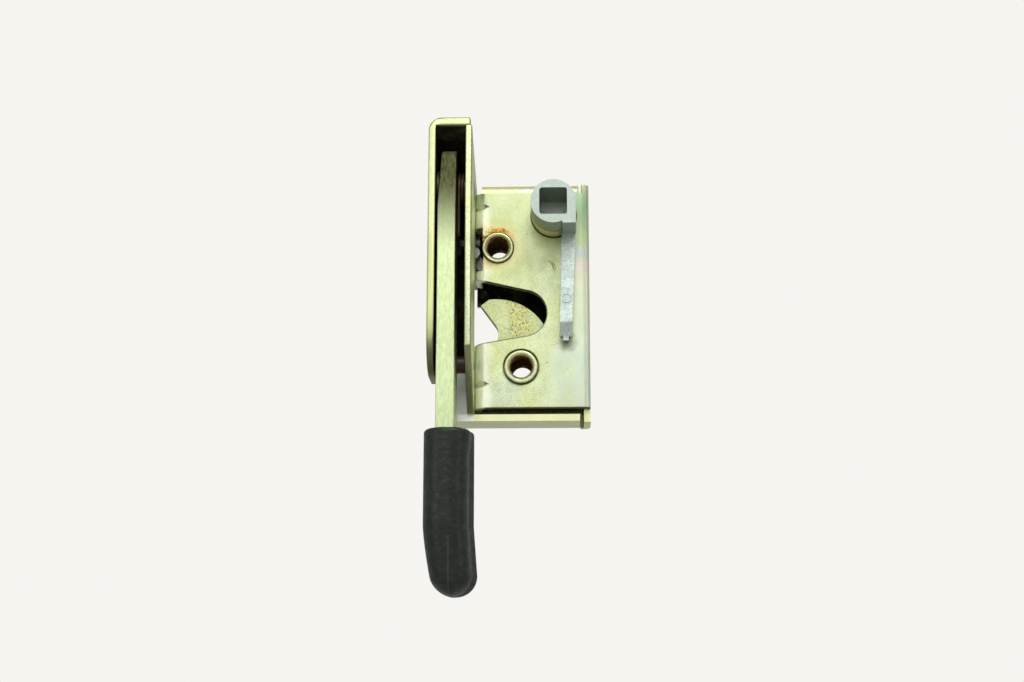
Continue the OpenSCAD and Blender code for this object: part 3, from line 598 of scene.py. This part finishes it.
def lever_finish():
    """Passivated stamped bar: its sheared edges are pale and streaked, its top is dark with the
    hood's painted shade, and its right side is rust brown with painted shade.
    """
    f = Finish("passivated_lever")
    film = passivated_film(f, 110.0)
    streaks = f.noise(700.0, 4.0, 0.7, (2.2, 1.0, 0.6))
    edge = f.ramp(f.math("ABSOLUTE", f.facing("Y")), 0.4, 0.8)
    pale = f.mix(f.ramp(streaks, 0.35, 0.7), (0.50, 0.61, 0.32), (0.70, 0.85, 0.47))
    film = f.mix(f.times(edge, 0.8), film, pale)
    # Painted shade of the hood over the bar's top, which also takes away its metal and most of its
    # gloss
    shade_and_scale = f.times(f.ramp(f.axis("Z"), 28 * MM, 56 * MM), f.ramp(streaks, 0.3, 0.65, 0.82, 0.98))
    film = f.mix(shade_and_scale, film, (0.050, 0.045, 0.006))
    # Rust brown with painted shade on the right side, in the gap by the base plate
    side = f.ramp(f.facing("X"), 0.8, 0.95, 0.0, 0.8)
    film = f.mix(f.times(side, f.ramp(f.axis("Z"), 0.0, 20 * MM)), film, (0.06, 0.025, 0.010))
    f.bump(f.math("ADD", streaks, f.noise(1800.0, 3.0)), 0.06 * MM, 0.7)
    satin = f.ramp(streaks, 0.3, 0.7, 0.36, 0.58)
    return f.done(film, satin, f.ramp(shade_and_scale, 0.0, 0.9, 0.4, 0.05), f.ramp(shade_and_scale, 0.0, 0.9, 0.5, 0.05))


def zinc_finish():
    """Bare die casting: matt grey with a fine grain and faint flow clouds. The hub's sides are
    darker with painted shade, and the floor of its socket is lighter with painted light."""
    c = colours()
    f = Finish("zinc_casting")
    clouds = f.noise(220.0, 4.0, 0.6)
    tone = f.mix(f.ramp(clouds, 0.35, 0.7), (0.48, 0.55, 0.52), c.zinc)
    tone = f.mix(f.fall(f.noise(2200.0, 2.0), 0.36, 0.52, 0.45), tone, (0.22, 0.26, 0.25))
    high = f.ramp(f.axis("Z"), 36 * MM, 42 * MM)
    tone = f.mix(f.times(high, 0.65), tone, (0.32, 0.38, 0.33))
    # Painted shade on the hub's sides
    side = f.times(high, f.ramp(f.facing("Y"), -0.6, -0.3, 0.0, 0.65))
    tone = f.mix(side, tone, (0.20, 0.24, 0.15))
    # Painted light on the floor of the socket
    deep = f.ramp(f.axis("Y"), -1.2 * MM, -0.7 * MM)
    floor = f.times(high, deep, f.fall(f.facing("Y"), -0.8, -0.6, 0.9))
    tone = f.mix(floor, tone, (0.78, 0.84, 0.80))
    f.bump(f.noise(2000.0, 4.0, 0.65), 0.06 * MM, 0.7)
    return f.done(tone, f.ramp(clouds, 0.3, 0.7, 0.36, 0.5), 0.6)


def steel_finish(name, tone, metallic=0.8):
    """Plain plated or drawn steel with a light tarnish."""
    f = Finish(name)
    tarnish = f.noise(300.0, 4.0, 0.6)
    dark = tuple(0.55 * v for v in tone)
    f.bump(f.noise(1600.0, 3.0), 0.02 * MM, 0.5)
    film = f.mix(f.ramp(tarnish, 0.35, 0.65), dark, tuple(tone))
    return f.done(film, f.ramp(tarnish, 0.3, 0.7, 0.3, 0.5), metallic)


def grip_finish():
    """Black moulded grip: fine leathery grain, faint dust on it and a seam down its lower front."""
    c = colours()
    f = Finish("black_grip")
    dust = f.noise(420.0, 5.0, 0.7)
    tone = f.mix(f.ramp(dust, 0.40, 0.75), c.grip, (0.022, 0.034, 0.021))
    aside = f.math("ABSOLUTE", f.math("SUBTRACT", f.axis("X"), GRIP_SEAM))
    seam = f.times(f.fall(aside, 0.05 * MM, 0.3 * MM, 0.4), f.fall(f.axis("Z"), -56 * MM, -48 * MM))
    tone = f.mix(seam, tone, (0.07, 0.09, 0.07))
    pebble = f.add("ShaderNodeTexVoronoi", feature="SMOOTH_F1")
    f.feed(pebble.inputs["Vector"], f.place)
    pebble.inputs["Scale"].default_value = 1100.0
    f.bump(f.math("ADD", pebble.outputs["Distance"], f.noise(350.0, 4.0)), 0.12 * MM, 0.8)
    return f.done(tone, f.ramp(dust, 0.3, 0.7, 0.46, 0.33), 0.0, 0.25)


# Shapes


def mesh_piece(name, points, faces, material, body):
    """New smooth mesh object at the origin that rides on a body."""
    mesh = bpy.data.meshes.new(name)
    mesh.from_pydata(points.tolist(), [], faces)
    mesh.update()
    mesh.polygons.foreach_set("use_smooth", np.ones(len(mesh.polygons), bool))
    piece = bpy.data.objects.new(name, mesh)
    bpy.context.scene.collection.objects.link(piece)
    piece.data.materials.append(material)
    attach(piece, body)
    return piece


def grid_faces(rows, columns, wrap_rows=False):
    """Quads of a grid of points whose columns close on themselves, and its rows with wrap_rows."""
    last = rows if wrap_rows else rows - 1
    i, k = np.meshgrid(np.arange(last), np.arange(columns), indexing="ij")
    a = i * columns + k
    b = i * columns + (k + 1) % columns
    c = ((i + 1) % rows) * columns + (k + 1) % columns
    d = ((i + 1) % rows) * columns + k
    return np.stack([a, b, c, d], axis=-1).reshape(-1, 4).tolist()


def end_caps(rows, columns):
    """The two end faces of a grid of points whose columns close on themselves."""
    count = rows * columns
    return [list(range(columns)), list(range(count - 1, count - columns - 1, -1))]


def bevel_weights(work, angle, plain):
    """Weight of each edge's bevel: 1 where the edge folds by more than angle. It is 0 at a corner
    that a flatter edge leaves almost along a folded one, where a bevel would run out into a spike,
    and inside plain, a range of x and of z."""
    fold = np.array([edge.calc_face_angle(0.0) for edge in work.edges])
    ends = np.array([[vert.index for vert in edge.verts] for edge in work.edges])
    places = np.array([tuple(vert.co) for vert in work.verts])
    along = places[ends[:, 1]] - places[ends[:, 0]]
    along /= np.linalg.norm(along, axis=1, keepdims=True)
    sharp = fold > angle
    likeness = along[sharp] @ along[~sharp].T
    crowded = np.zeros(len(places), bool)
    almost = math.cos(math.radians(20))
    for a, b in ((0, 0), (0, 1), (1, 0), (1, 1)):
        meet = ends[sharp][:, a][:, None] == ends[~sharp][:, b][None, :]
        close = meet & (likeness * (1 if a == b else -1) > almost)
        crowded[ends[sharp][close.any(axis=1), a]] = True
    if plain:
        x0, x1, z0, z1 = plain
        x, z = places[:, 0], places[:, 2]
        crowded |= (x > x0) & (x < x1) & (z > z0) & (z < z1)
    return (sharp & ~crowded[ends].any(axis=1)).astype(float)


def softened_copy(node, width, segments, material, clamp=True, plain=None):
    """Copy of a solid with doubles merged, flat fans joined and sharp edges bevelled, which
    replaces it. Without clamp, each bevel has its full width and bevel_weights picks the edges."""
    source = FRAME["nodes"][node]
    work = bmesh.new()
    work.from_mesh(source.data)
    bmesh.ops.remove_doubles(work, verts=work.verts, dist=1e-6)
    bmesh.ops.dissolve_limit(
        work,
        angle_limit=math.radians(0.8),
        use_dissolve_boundaries=False,
        verts=work.verts,
        edges=work.edges,
    )
    work.verts.index_update()
    weights = None if clamp else bevel_weights(work, BEVEL_ANGLE, plain)
    mesh = bpy.data.meshes.new(node + "_finished")
    work.to_mesh(mesh)
    work.free()
    if weights is not None:
        weight = mesh.attributes.new("bevel_weight_edge", "FLOAT", "EDGE")
        weight.data.foreach_set("value", weights)
    mesh.polygons.foreach_set("use_smooth", np.ones(len(mesh.polygons), bool))
    mesh.set_sharp_from_angle(angle=math.radians(32))
    piece = bpy.data.objects.new(node + "_finished", mesh)
    bpy.context.scene.collection.objects.link(piece)
    mesh.materials.clear()
    mesh.materials.append(material)
    bevel = piece.modifiers.new("edge", "BEVEL")
    bevel.width = width
    bevel.segments = segments
    bevel.limit_method = "ANGLE" if clamp else "WEIGHT"
    bevel.angle_limit = BEVEL_ANGLE
    bevel.harden_normals = True
    bevel.use_clamp_overlap = clamp
    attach(piece, BODY_OF[node])
    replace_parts(piece, node)
    return piece


def repaint(node, material):
    """Gives a solid that keeps its shape a finished material."""
    mesh = FRAME["nodes"][node].data
    mesh.materials.clear()
    mesh.materials.append(material)


def turned_ring(name, node, axis_x, axis_z, profile, material, steps=96):
    """Surface of revolution about a line along Y: a closed profile of radius and depth, carried
    round the axis in even steps."""
    radius, depth = np.asarray(profile, float).T
    turn = np.linspace(0, 2 * math.pi, steps, endpoint=False)
    x = axis_x + radius[None, :] * np.cos(turn)[:, None]
    z = axis_z + radius[None, :] * np.sin(turn)[:, None]
    y = np.broadcast_to(depth[None, :], x.shape)
    points = np.stack([x, y, z], axis=-1).reshape(-1, 3)
    faces = grid_faces(steps, len(radius), True)
    piece = mesh_piece(name, points, faces, material, BODY_OF[node])
    outward(piece)
    piece.data.set_sharp_from_angle(angle=math.radians(35))
    return piece


def sickle(name, node, x, z, radius, turn0, turn1, width, rise, material):
    """Crescent burr: an ellipse carried along an arc, which swells and shrinks as a half sine."""
    steps, sides = 41, 12
    along = np.linspace(0, 1, steps)
    turn = np.radians(turn0 + (turn1 - turn0) * along)
    swell = np.sin(math.pi * along)
    around = np.linspace(0, 2 * math.pi, sides, endpoint=False)
    reach = radius + 0.5 * width * swell[:, None] * np.cos(around)[None, :]
    depth = -rise * swell[:, None] * np.sin(around)[None, :]
    across = x + reach * np.cos(turn)[:, None]
    height = z + reach * np.sin(turn)[:, None]
    points = np.stack([across, depth, height], axis=-1).reshape(-1, 3)
    faces = grid_faces(steps, sides)
    piece = mesh_piece(name, points, faces, material, BODY_OF[node])
    outward(piece)


def soft_rectangle(count, power):
    """Shares across and deep of a superellipse: each to the power, they add up to 1."""
    angle = (np.arange(count) + 0.5) * 2 * math.pi / count
    return [np.sign(v) * np.abs(v) ** (2 / power) for v in (np.cos(angle), np.sin(angle))]


def bar_pocket(side, deep, top):
    """Mouth and floor of the grip's pocket round the bar: a soft rectangle's shares, stretched by a
    half and cut off at 1, so that they meet the bar's flat sides."""
    low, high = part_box("lever_bar")
    gap = 0.05 * MM
    half_w = (high.x - low.x) / 2 + gap
    half_d = (BAR_BACK - BAR_FRONT) / 2 + gap
    x = (low.x + high.x) / 2 + half_w * np.clip(1.5 * side, -1, 1)
    y = BAR_FRONT - gap + half_d + half_d * np.clip(1.5 * deep, -1, 1)
    return [np.column_stack([x, y, np.full(len(x), z)]) for z in (top, low.z - gap)]


def grip_skin(material):
    """Moulded skin of the grip: soft rectangles, superellipses of power 3.6, stacked from the
    rounded foot to the lip, then drawn in to the bar's pocket and down to its floor. The front half
    is a step narrower on the right, its face is crowned, and the heel draws in on the left."""
    low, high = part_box("lever_grip")
    ring = 160
    lift, foot, lip, bend = 1.0 * MM, 6.0 * MM, 1.2 * MM, 20.0 * MM
    step, crown, heel, heel_height = 1.1 * MM, 1.8 * MM, 1.7 * MM, 18 * MM
    half_w = (high.x - low.x - lift) / 2
    half_d = (high.y - low.y - lift) / 2
    middle_x, middle_y = low.x + half_w, low.y + half_d
    fall = np.radians(np.linspace(88, 0, 14))
    shaft = np.linspace(low.z + foot, high.z - lip, 48)[1:-1]
    rise = np.radians(np.linspace(0, 80, 8))
    lower, upper = low.z + foot * (1 - np.sin(fall)), high.z - lip * (1 - np.sin(rise))
    z = np.concatenate([lower, shaft, upper])
    inset = np.concatenate([foot * (1 - np.cos(fall)), 0 * shaft, lip * (1 - np.cos(rise))])
    drift = lift * np.clip((low.z + bend - z) / (bend - foot), 0, 1)
    side, deep = soft_rectangle(ring, 3.6)
    x = middle_x + drift[:, None] + (half_w - inset)[:, None] * side[None, :]
    y = middle_y + drift[:, None] + (half_d - inset)[:, None] * deep[None, :]
    front = np.clip(0.5 - deep[None, :] * 6.0, 0, 1) * np.clip(side, 0, 1)[None, :] ** 0.5
    below = np.clip((high.z - 2 * MM - z) / (6 * MM), 0, 1)[:, None]
    x = x - step * front * (0.6 + 0.4 * below)
    y = y + crown * (np.clip(-deep, 0, 1) * side**2)[None, :]
    drawn = np.clip((low.z + heel_height - z) / heel_height, 0, 1)[:, None] ** 1.6
    x = x + heel * drawn * np.clip(-side, 0, 1)[None, :]
    outer = np.stack([x, y, np.broadcast_to(z[:, None], x.shape)], axis=-1)
    points = np.concatenate([outer.reshape(-1, 3), *bar_pocket(side, deep, high.z)])
    rows = len(z) + 2
    faces = grid_faces(rows, ring) + end_caps(rows, ring)
    body, slot = BODY_OF["lever_grip"], SLOT_OF["lever_grip"]
    piece = mesh_piece("grip_skin", points, faces, material, body)
    outward(piece)
    piece.data.set_sharp_from_angle(angle=math.radians(40))
    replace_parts(piece, "lever_grip")


def outward(piece):
    """Turns a closed mesh's faces outwards."""
    work = bmesh.new()
    work.from_mesh(piece.data)
    bmesh.ops.remove_doubles(work, verts=work.verts, dist=1e-7)
    bmesh.ops.recalc_face_normals(work, faces=work.faces)
    work.to_mesh(piece.data)
    work.free()
    piece.data.update()


def rounded(corners, radii, steps=6):
    """Closed profile whose corners give way to parabolas, which leave the sides where tangent arcs
    of the given radii would."""
    corners = np.asarray(corners, float)
    before = np.roll(corners, 1, axis=0) - corners
    after = np.roll(corners, -1, axis=0) - corners
    before /= np.linalg.norm(before, axis=1, keepdims=True)
    after /= np.linalg.norm(after, axis=1, keepdims=True)
    half = np.arccos(np.clip((before * after).sum(1), -1, 1)) / 2
    cut = np.asarray(radii, float) / np.tan(half)
    t = np.linspace(0, 1, steps)[None, :, None]
    start = (corners + before * cut[:, None])[:, None, :]
    end = (corners + after * cut[:, None])[:, None, :]
    middle = corners[:, None, :]
    curve = (1 - t) ** 2 * start + 2 * t * (1 - t) * middle + t**2 * end
    return curve.reshape(-1, 2)


def wire_piece(name, node, path, axis, diameter, material, sides=12):
    """Round wire: a circle carried along the path, square to the path's direction, with one of its
    axes as near to the coil's axis as that allows."""
    path = np.asarray(path, float)
    along = np.gradient(path, axis=0)
    along /= np.linalg.norm(along, axis=1, keepdims=True)
    axis = np.asarray(axis, float)
    up = axis[None, :] - (along @ axis)[:, None] * along
    up /= np.linalg.norm(up, axis=1, keepdims=True)
    side = np.cross(along, up)
    turn = np.linspace(0, 2 * math.pi, sides, endpoint=False)
    cos, sin = np.cos(turn)[None, :, None], np.sin(turn)[None, :, None]
    ring = cos * up[:, None, :] + sin * side[:, None, :]
    points = (path[:, None, :] + 0.5 * diameter * ring).reshape(-1, 3)
    faces = grid_faces(len(path), sides) + end_caps(len(path), sides)
    piece = mesh_piece(name, points, faces, material, BODY_OF[node])
    outward(piece)
    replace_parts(piece, node)


def coil_path(centre, radius, start, pitch, turn0, turn1, axis, first_leg, last_leg):
    """Helix with straight legs: the angle runs evenly from turn0 to turn1, with one pitch of climb
    to a turn and a point about every 6 degrees."""
    count = int(abs(turn1 - turn0) / 6) + 1
    turn = np.linspace(turn0, turn1, count)
    climb = start + pitch * np.abs(turn - turn0) / 360
    across = centre[0] + radius * np.cos(np.radians(turn))
    height = centre[1] + radius * np.sin(np.radians(turn))
    columns = [across, climb, height] if axis == "Y" else [climb, across, height]
    coil = np.stack(columns, axis=1)
    share = np.linspace(0, 1, 14)[:, None]
    first = np.asarray(first_leg, float)[None, :] * (1 - share) + coil[:1] * share
    last = coil[-1:] * (1 - share) + np.asarray(last_leg, float)[None, :] * share
    return np.concatenate([first[:-1], coil, last[1:]])


# Pieces


class LOCK_OT_sheets(bpy.types.Operator):
    """Finish the pressed sheets of the case and the hood"""

    bl_idname = "doorlock.sheets"
    bl_label = "Pressed sheets"

    def execute(self, context):
        width = sizes().sheet_edge
        corner = (-16 * MM, -9 * MM, 52 * MM, 60 * MM)
        softened_copy("front_plate", width, 2, front_finish(), False, corner)
        corner = (15 * MM, 22 * MM, -25 * MM, -11 * MM)
        softened_copy("back_plate", width, 2, sheet_finish(), False, corner)
        softened_copy("base_plate", width, 2, base_finish(), False)
        corner = (-30 * MM, -22.5 * MM, 64 * MM, 75 * MM)
        softened_copy("lever_hood", width, 2, hood_finish(), False, corner)
        return {"FINISHED"}


class LOCK_OT_sleeves(bpy.types.Operator):
    """Turn the two fixing sleeves, the hub's collar and the spring post"""

    bl_idname = "doorlock.sleeves"
    bl_label = "Sleeves and collar"

    def execute(self, context):
        bore, lip = SLEEVE_BORE, 0.9 * MM
        for node, (x, z) in (("lower_sleeve", LOWER_SLEEVE), ("upper_sleeve", UPPER_SLEEVE)):
            low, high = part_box(node)
            outer = (high.x - low.x) / 2
            front, back = low.y, high.y
            wall = [(bore + lip, front), (outer, front), (outer, back), (bore, back)]
            radii = [0.25 * MM, 0.3 * MM, 0.3 * MM, 0.3 * MM, 0.4 * MM]
            profile = rounded([*wall, (bore, front + lip)], radii)
            finish = turned_finish("passivated_" + node, x, z, bore)
            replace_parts(turned_ring(node + "_turned", node, x, z, profile, finish), node)
        softened_copy("hub_collar", 0.3 * MM, 2, collar_finish())
        film = bpy.data.materials["passivated_front"]
        head, shank, proud, under = 2.6 * MM, 2.0 * MM, -0.008 * MM, -0.002 * MM
        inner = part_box("spring_post")[1].y
        flush = [(0, proud), (head, proud), (head, under)]
        profile = [*flush, (shank, under), (shank, inner), (0, inner)]
        post = turned_ring("post_turned", "spring_post", *SPRING_POST, profile, film)
        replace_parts(post, "spring_post")
        gold = steel_finish("golden_burr", (0.95, 0.90, 0.36), 0.1)
        dark = steel_finish("burr_shadow", (0.10, 0.08, 0.03))
        burrs = (
            ("post_burr", 2.45 * MM, 112, -28, 0.75 * MM, 0.3 * MM, gold),
            # The second, dark crescent is a painted shadow beside the burr
            ("post_burr_root", 2.0 * MM, 60, -32, 0.18 * MM, 0.1 * MM, dark),
        )
        for name, *shape in burrs:
            sickle(name, "spring_post", *POST_BURR, *shape)
        return {"FINISHED"}


class LOCK_OT_hub(bpy.types.Operator):
    """Finish the die-cast hub with its socket, lug and arm"""

    bl_idname = "doorlock.hub"
    bl_label = "Hub casting"

    def execute(self, context):
        zinc = zinc_finish()
        softened_copy("hub_casting", sizes().casting_edge, 3, zinc)
        inner, outer, front, back = 1.2 * MM, 1.5 * MM, -4.0 * MM, -3.6 * MM
        corners = [(inner, front), (outer, front), (outer, back), (inner, back)]
        mark = rounded(corners, [0.06 * MM] * 4)
        turned_ring("ejector_mark", "hub_casting", *EJECTOR_MARK, mark, zinc, 48)
        return {"FINISHED"}


class LOCK_OT_claw(bpy.types.Operator):
    """Finish the thick stamped claw"""

    bl_idname = "doorlock.claw"
    bl_label = "Claw"

    def execute(self, context):
        softened_copy("claw", 0.45 * MM, 3, claw_finish())
        return {"FINISHED"}


class LOCK_OT_lever(bpy.types.Operator):
    """Finish the stamped lever bar, whose left face draws in towards the head"""

    bl_idname = "doorlock.lever"
    bl_label = "Lever bar"

    def execute(self, context):
        bar = softened_copy("lever_bar", sizes().lever_edge, 3, lever_finish())
        points = np.empty(len(bar.data.vertices) * 3)
        bar.data.vertices.foreach_get("co", points)
        points = points.reshape(-1, 3)
        start, length, taper = 46 * MM, 18 * MM, 0.9 * MM
        left = points[:, 0] < points[:, 0].mean()
        share = np.clip((points[:, 2] - start) / length, 0, 1)
        points[:, 0] += left * share * taper
        bar.data.vertices.foreach_set("co", points.ravel())
        bar.data.update()
        return {"FINISHED"}


class LOCK_OT_grip(bpy.types.Operator):
    """Mould the grip over the lever's end"""

    bl_idname = "doorlock.grip"
    bl_label = "Grip"

    def execute(self, context):
        grip_skin(grip_finish())
        return {"FINISHED"}


class LOCK_OT_springs(bpy.types.Operator):
    """Wind the three torsion springs"""

    bl_idname = "doorlock.springs"
    bl_label = "Springs"

    def execute(self, context):
        wire = sizes().wire
        steel = steel_finish("spring_wire", (0.22, 0.22, 0.20))
        low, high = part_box("claw_spring")
        radius = high.x - wire / 2
        start, end, turns = low.y + wire / 2, high.y - wire / 2, 3
        claw = coil_path(
            LOWER_SLEEVE, radius, start, (end - start) / turns, 180, 180 - 360 * turns, "Y",
            (-radius, start, low.z), (-radius, end, high.z),
        )
        wire_piece("claw_spring_wire", "claw_spring", claw, (0, 1, 0), wire, steel)
        radius, start, end = 6.95 * MM, 2.85 * MM, 6.149 * MM
        pawl = coil_path(
            HUB, radius, start, 1.3 * MM, 193.5, -720, "Y",
            (6.7 * MM, start, 29 * MM), (16.95 * MM, end, 39 * MM),
        )
        wire_piece("pawl_spring_wire", "pawl_spring", pawl, (0, 1, 0), wire, steel)
        radius, start, end = 4.85 * MM, -18.35 * MM, -17.1 * MM
        lever = coil_path(
            LEVER_PIN, radius, start, 1.0 * MM, 180, -270, "X",
            (start, -8.85 * MM, 38 * MM), (end, 2 * MM, 58.85 * MM),
        )
        thin = sizes().lever_wire
        # The lever's spring, deep in the hood, is rust brown and darkened with painted shade
        brown = steel_finish("rusty_shaded_wire", (0.13, 0.08, 0.045), 0.3)
        wire_piece("lever_spring_wire", "lever_spring", lever, (1, 0, 0), thin, brown)
        return {"FINISHED"}


class LOCK_OT_small_steel(bpy.types.Operator):
    """Finish the pins, rivets, washers and the pawl"""

    bl_idname = "doorlock.small_steel"
    bl_label = "Pins, rivets and pawl"

    def execute(self, context):
        steel = steel_finish("plain_steel", tuple(colours().steel))
        rivets = ("case_rivets", "lever_pin", "stop_rivet", "drive_pin")
        for node in (*rivets, "claw_washer", "pawl", "pawl_retainer"):
            repaint(node, steel)
        # Rust brown steel, darkened with painted shade, for the parts deep in the hood
        rusty_and_shaded = steel_finish("rusty_shaded_steel", (0.11, 0.065, 0.035), 0.3)
        for node in ("lever_washer", "lever_bush", "stop_tube"):
            repaint(node, rusty_and_shaded)
        return {"FINISHED"}


# Stage


def area_light(name, place, target, size, power, colour=(1, 1, 1)):
    """Rectangular lamp at a place, turned to a target."""
    lamp = bpy.data.lights.new(name, "AREA")
    lamp.shape = "RECTANGLE"
    lamp.size, lamp.size_y = size
    lamp.energy = power
    lamp.color = colour
    holder = bpy.data.objects.new(name, lamp)
    holder.location = place
    holder.rotation_euler = (Vector(target) - Vector(place)).to_track_quat("-Z", "Y").to_euler()
    bpy.context.scene.collection.objects.link(holder)


def seen_share(tree):
    """Socket that is 1 for rays from the camera or through clear pieces, and a smaller share for
    mirrored ones."""
    path = tree.nodes.new("ShaderNodeLightPath")
    mirror, either, total = (tree.nodes.new("ShaderNodeMath") for _ in range(3))
    mirror.operation, either.operation, total.operation = "MULTIPLY", "MAXIMUM", "MAXIMUM"
    mirror.inputs[1].default_value = 0.4
    tree.links.new(path.outputs["Is Glossy Ray"], mirror.inputs[0])
    tree.links.new(path.outputs["Is Camera Ray"], either.inputs[0])
    tree.links.new(path.outputs["Is Transmission Ray"], either.inputs[1])
    tree.links.new(either.outputs[0], total.inputs[0])
    tree.links.new(mirror.outputs[0], total.inputs[1])
    return total.outputs[0]


class LOCK_OT_stage(bpy.types.Operator):
    """Set the pale floor, the soft light, the background and the camera"""

    bl_idname = "doorlock.stage"
    bl_label = "Stage"

    def execute(self, context):
        s, c = sizes(), colours()
        scene = context.scene
        scene.view_settings.view_transform = "Standard"

        half, drop = 3.0, -0.3
        corners = [(-half, -half), (half, -half), (half, half), (-half, half)]
        mesh = bpy.data.meshes.new("floor")
        mesh.from_pydata([(x, y, drop) for x, y in corners], [], [(0, 1, 2, 3)])
        floor = bpy.data.objects.new("floor", mesh)
        scene.collection.objects.link(floor)
        paper = Finish("paper_floor")
        mesh.materials.append(paper.done((0.80, 0.79, 0.76), 0.8, 0.0, 0.2))
        glow = paper.add("ShaderNodeEmission")
        glow.inputs["Color"].default_value = (*c.backdrop, 1.0)
        glow_share = paper.times(seen_share(paper.tree), 0.55)
        share = paper.add("ShaderNodeMixShader")
        paper.feed(share.inputs[0], glow_share)
        paper.feed(share.inputs[1], paper.shader.outputs[0])
        paper.feed(share.inputs[2], glow.outputs[0])
        paper.feed(paper.tree.nodes["Material Output"].inputs["Surface"], share.outputs[0])

        world = bpy.data.worlds.new("studio")
        scene.world = world
        world.use_nodes = True
        tree = world.node_tree
        lit = tree.nodes["Background"]
        lit.inputs["Color"].default_value = (0.95, 0.97, 1.0, 1.0)
        lit.inputs["Strength"].default_value = 0.22
        shown = tree.nodes.new("ShaderNodeBackground")
        shown.inputs["Color"].default_value = (*c.backdrop, 1.0)
        shown.inputs["Strength"].default_value = 1.0
        blend = tree.nodes.new("ShaderNodeMixShader")
        tree.links.new(seen_share(tree), blend.inputs[0])
        tree.links.new(lit.outputs[0], blend.inputs[1])
        tree.links.new(shown.outputs[0], blend.inputs[2])
        tree.links.new(blend.outputs[0], tree.nodes["World Output"].inputs["Surface"])

        middle = (0.0, 0.0, 0.01)
        area_light("top_softbox", (0.14, -0.46, 0.58), middle, (0.5, 0.35), 4.2, (1.0, 0.99, 0.97))
        area_light("front_softbox", (-0.1, -0.85, 0.3), middle, (0.5, 0.4), 1.0)
        area_light("left_softbox", (-0.6, -0.55, 0.2), middle, (0.35, 0.6), 1.2)
        area_light("right_strip", (0.7, -0.35, 0.2), middle, (0.2, 0.7), 0.6)

        target = Vector((-2.7 * MM, 0, 8 * MM))
        turn, rise = s.camera_turn, s.camera_rise
        flat = math.cos(rise)
        back = Vector((math.sin(turn) * flat, -math.cos(turn) * flat, math.sin(rise)))
        lens = bpy.data.cameras.new("camera")
        lens.sensor_width = 36.0
        lens.lens = 56.25
        lens.clip_start = 0.01
        camera = bpy.data.objects.new("camera", lens)
        camera.location = target + back * s.camera_distance
        camera.rotation_euler = (-back).to_track_quat("-Z", "Y").to_euler()
        scene.collection.objects.link(camera)
        scene.camera = camera
        return {"FINISHED"}


OPERATORS = (
    LOCK_OT_sheets,
    LOCK_OT_sleeves,
    LOCK_OT_hub,
    LOCK_OT_claw,
    LOCK_OT_lever,
    LOCK_OT_grip,
    LOCK_OT_springs,
    LOCK_OT_small_steel,
    LOCK_OT_stage,
)


class LOCK_PT_panel(bpy.types.Panel):
    """Lists the lock's pieces, sizes and colours"""

    bl_label = "Door Lock"
    bl_idname = "LOCK_PT_panel"
    bl_space_type = "VIEW_3D"
    bl_region_type = "UI"
    bl_category = "Door Lock"

    def draw(self, context):
        column = self.layout.column()
        for operator in OPERATORS:
            column.operator(operator.bl_idname)
        for group in (context.scene.lock_sizes, context.scene.lock_colours):
            for key in group.bl_rna.properties.keys():
                if key not in ("rna_type", "name"):
                    column.prop(group, key)


CLASSES = (LockSizes, LockColours, *OPERATORS, LOCK_PT_panel)


def register():
    """Registers the classes and the scene's settings."""
    for item in CLASSES:
        bpy.utils.register_class(item)
    bpy.types.Scene.lock_sizes = bpy.props.PointerProperty(type=LockSizes)
    bpy.types.Scene.lock_colours = bpy.props.PointerProperty(type=LockColours)


def unregister():
    """Takes back what register did."""
    del bpy.types.Scene.lock_colours
    del bpy.types.Scene.lock_sizes
    for item in reversed(CLASSES):
        bpy.utils.unregister_class(item)


def main():
    """Builds the pieces and the stage."""
    register()
    bpy.ops.doorlock.sheets()
    bpy.ops.doorlock.sleeves()
    bpy.ops.doorlock.hub()
    bpy.ops.doorlock.claw()
    bpy.ops.doorlock.lever()
    bpy.ops.doorlock.grip()
    bpy.ops.doorlock.springs()
    bpy.ops.doorlock.small_steel()
    bpy.ops.doorlock.stage()


if __name__ == "__main__":
    main()
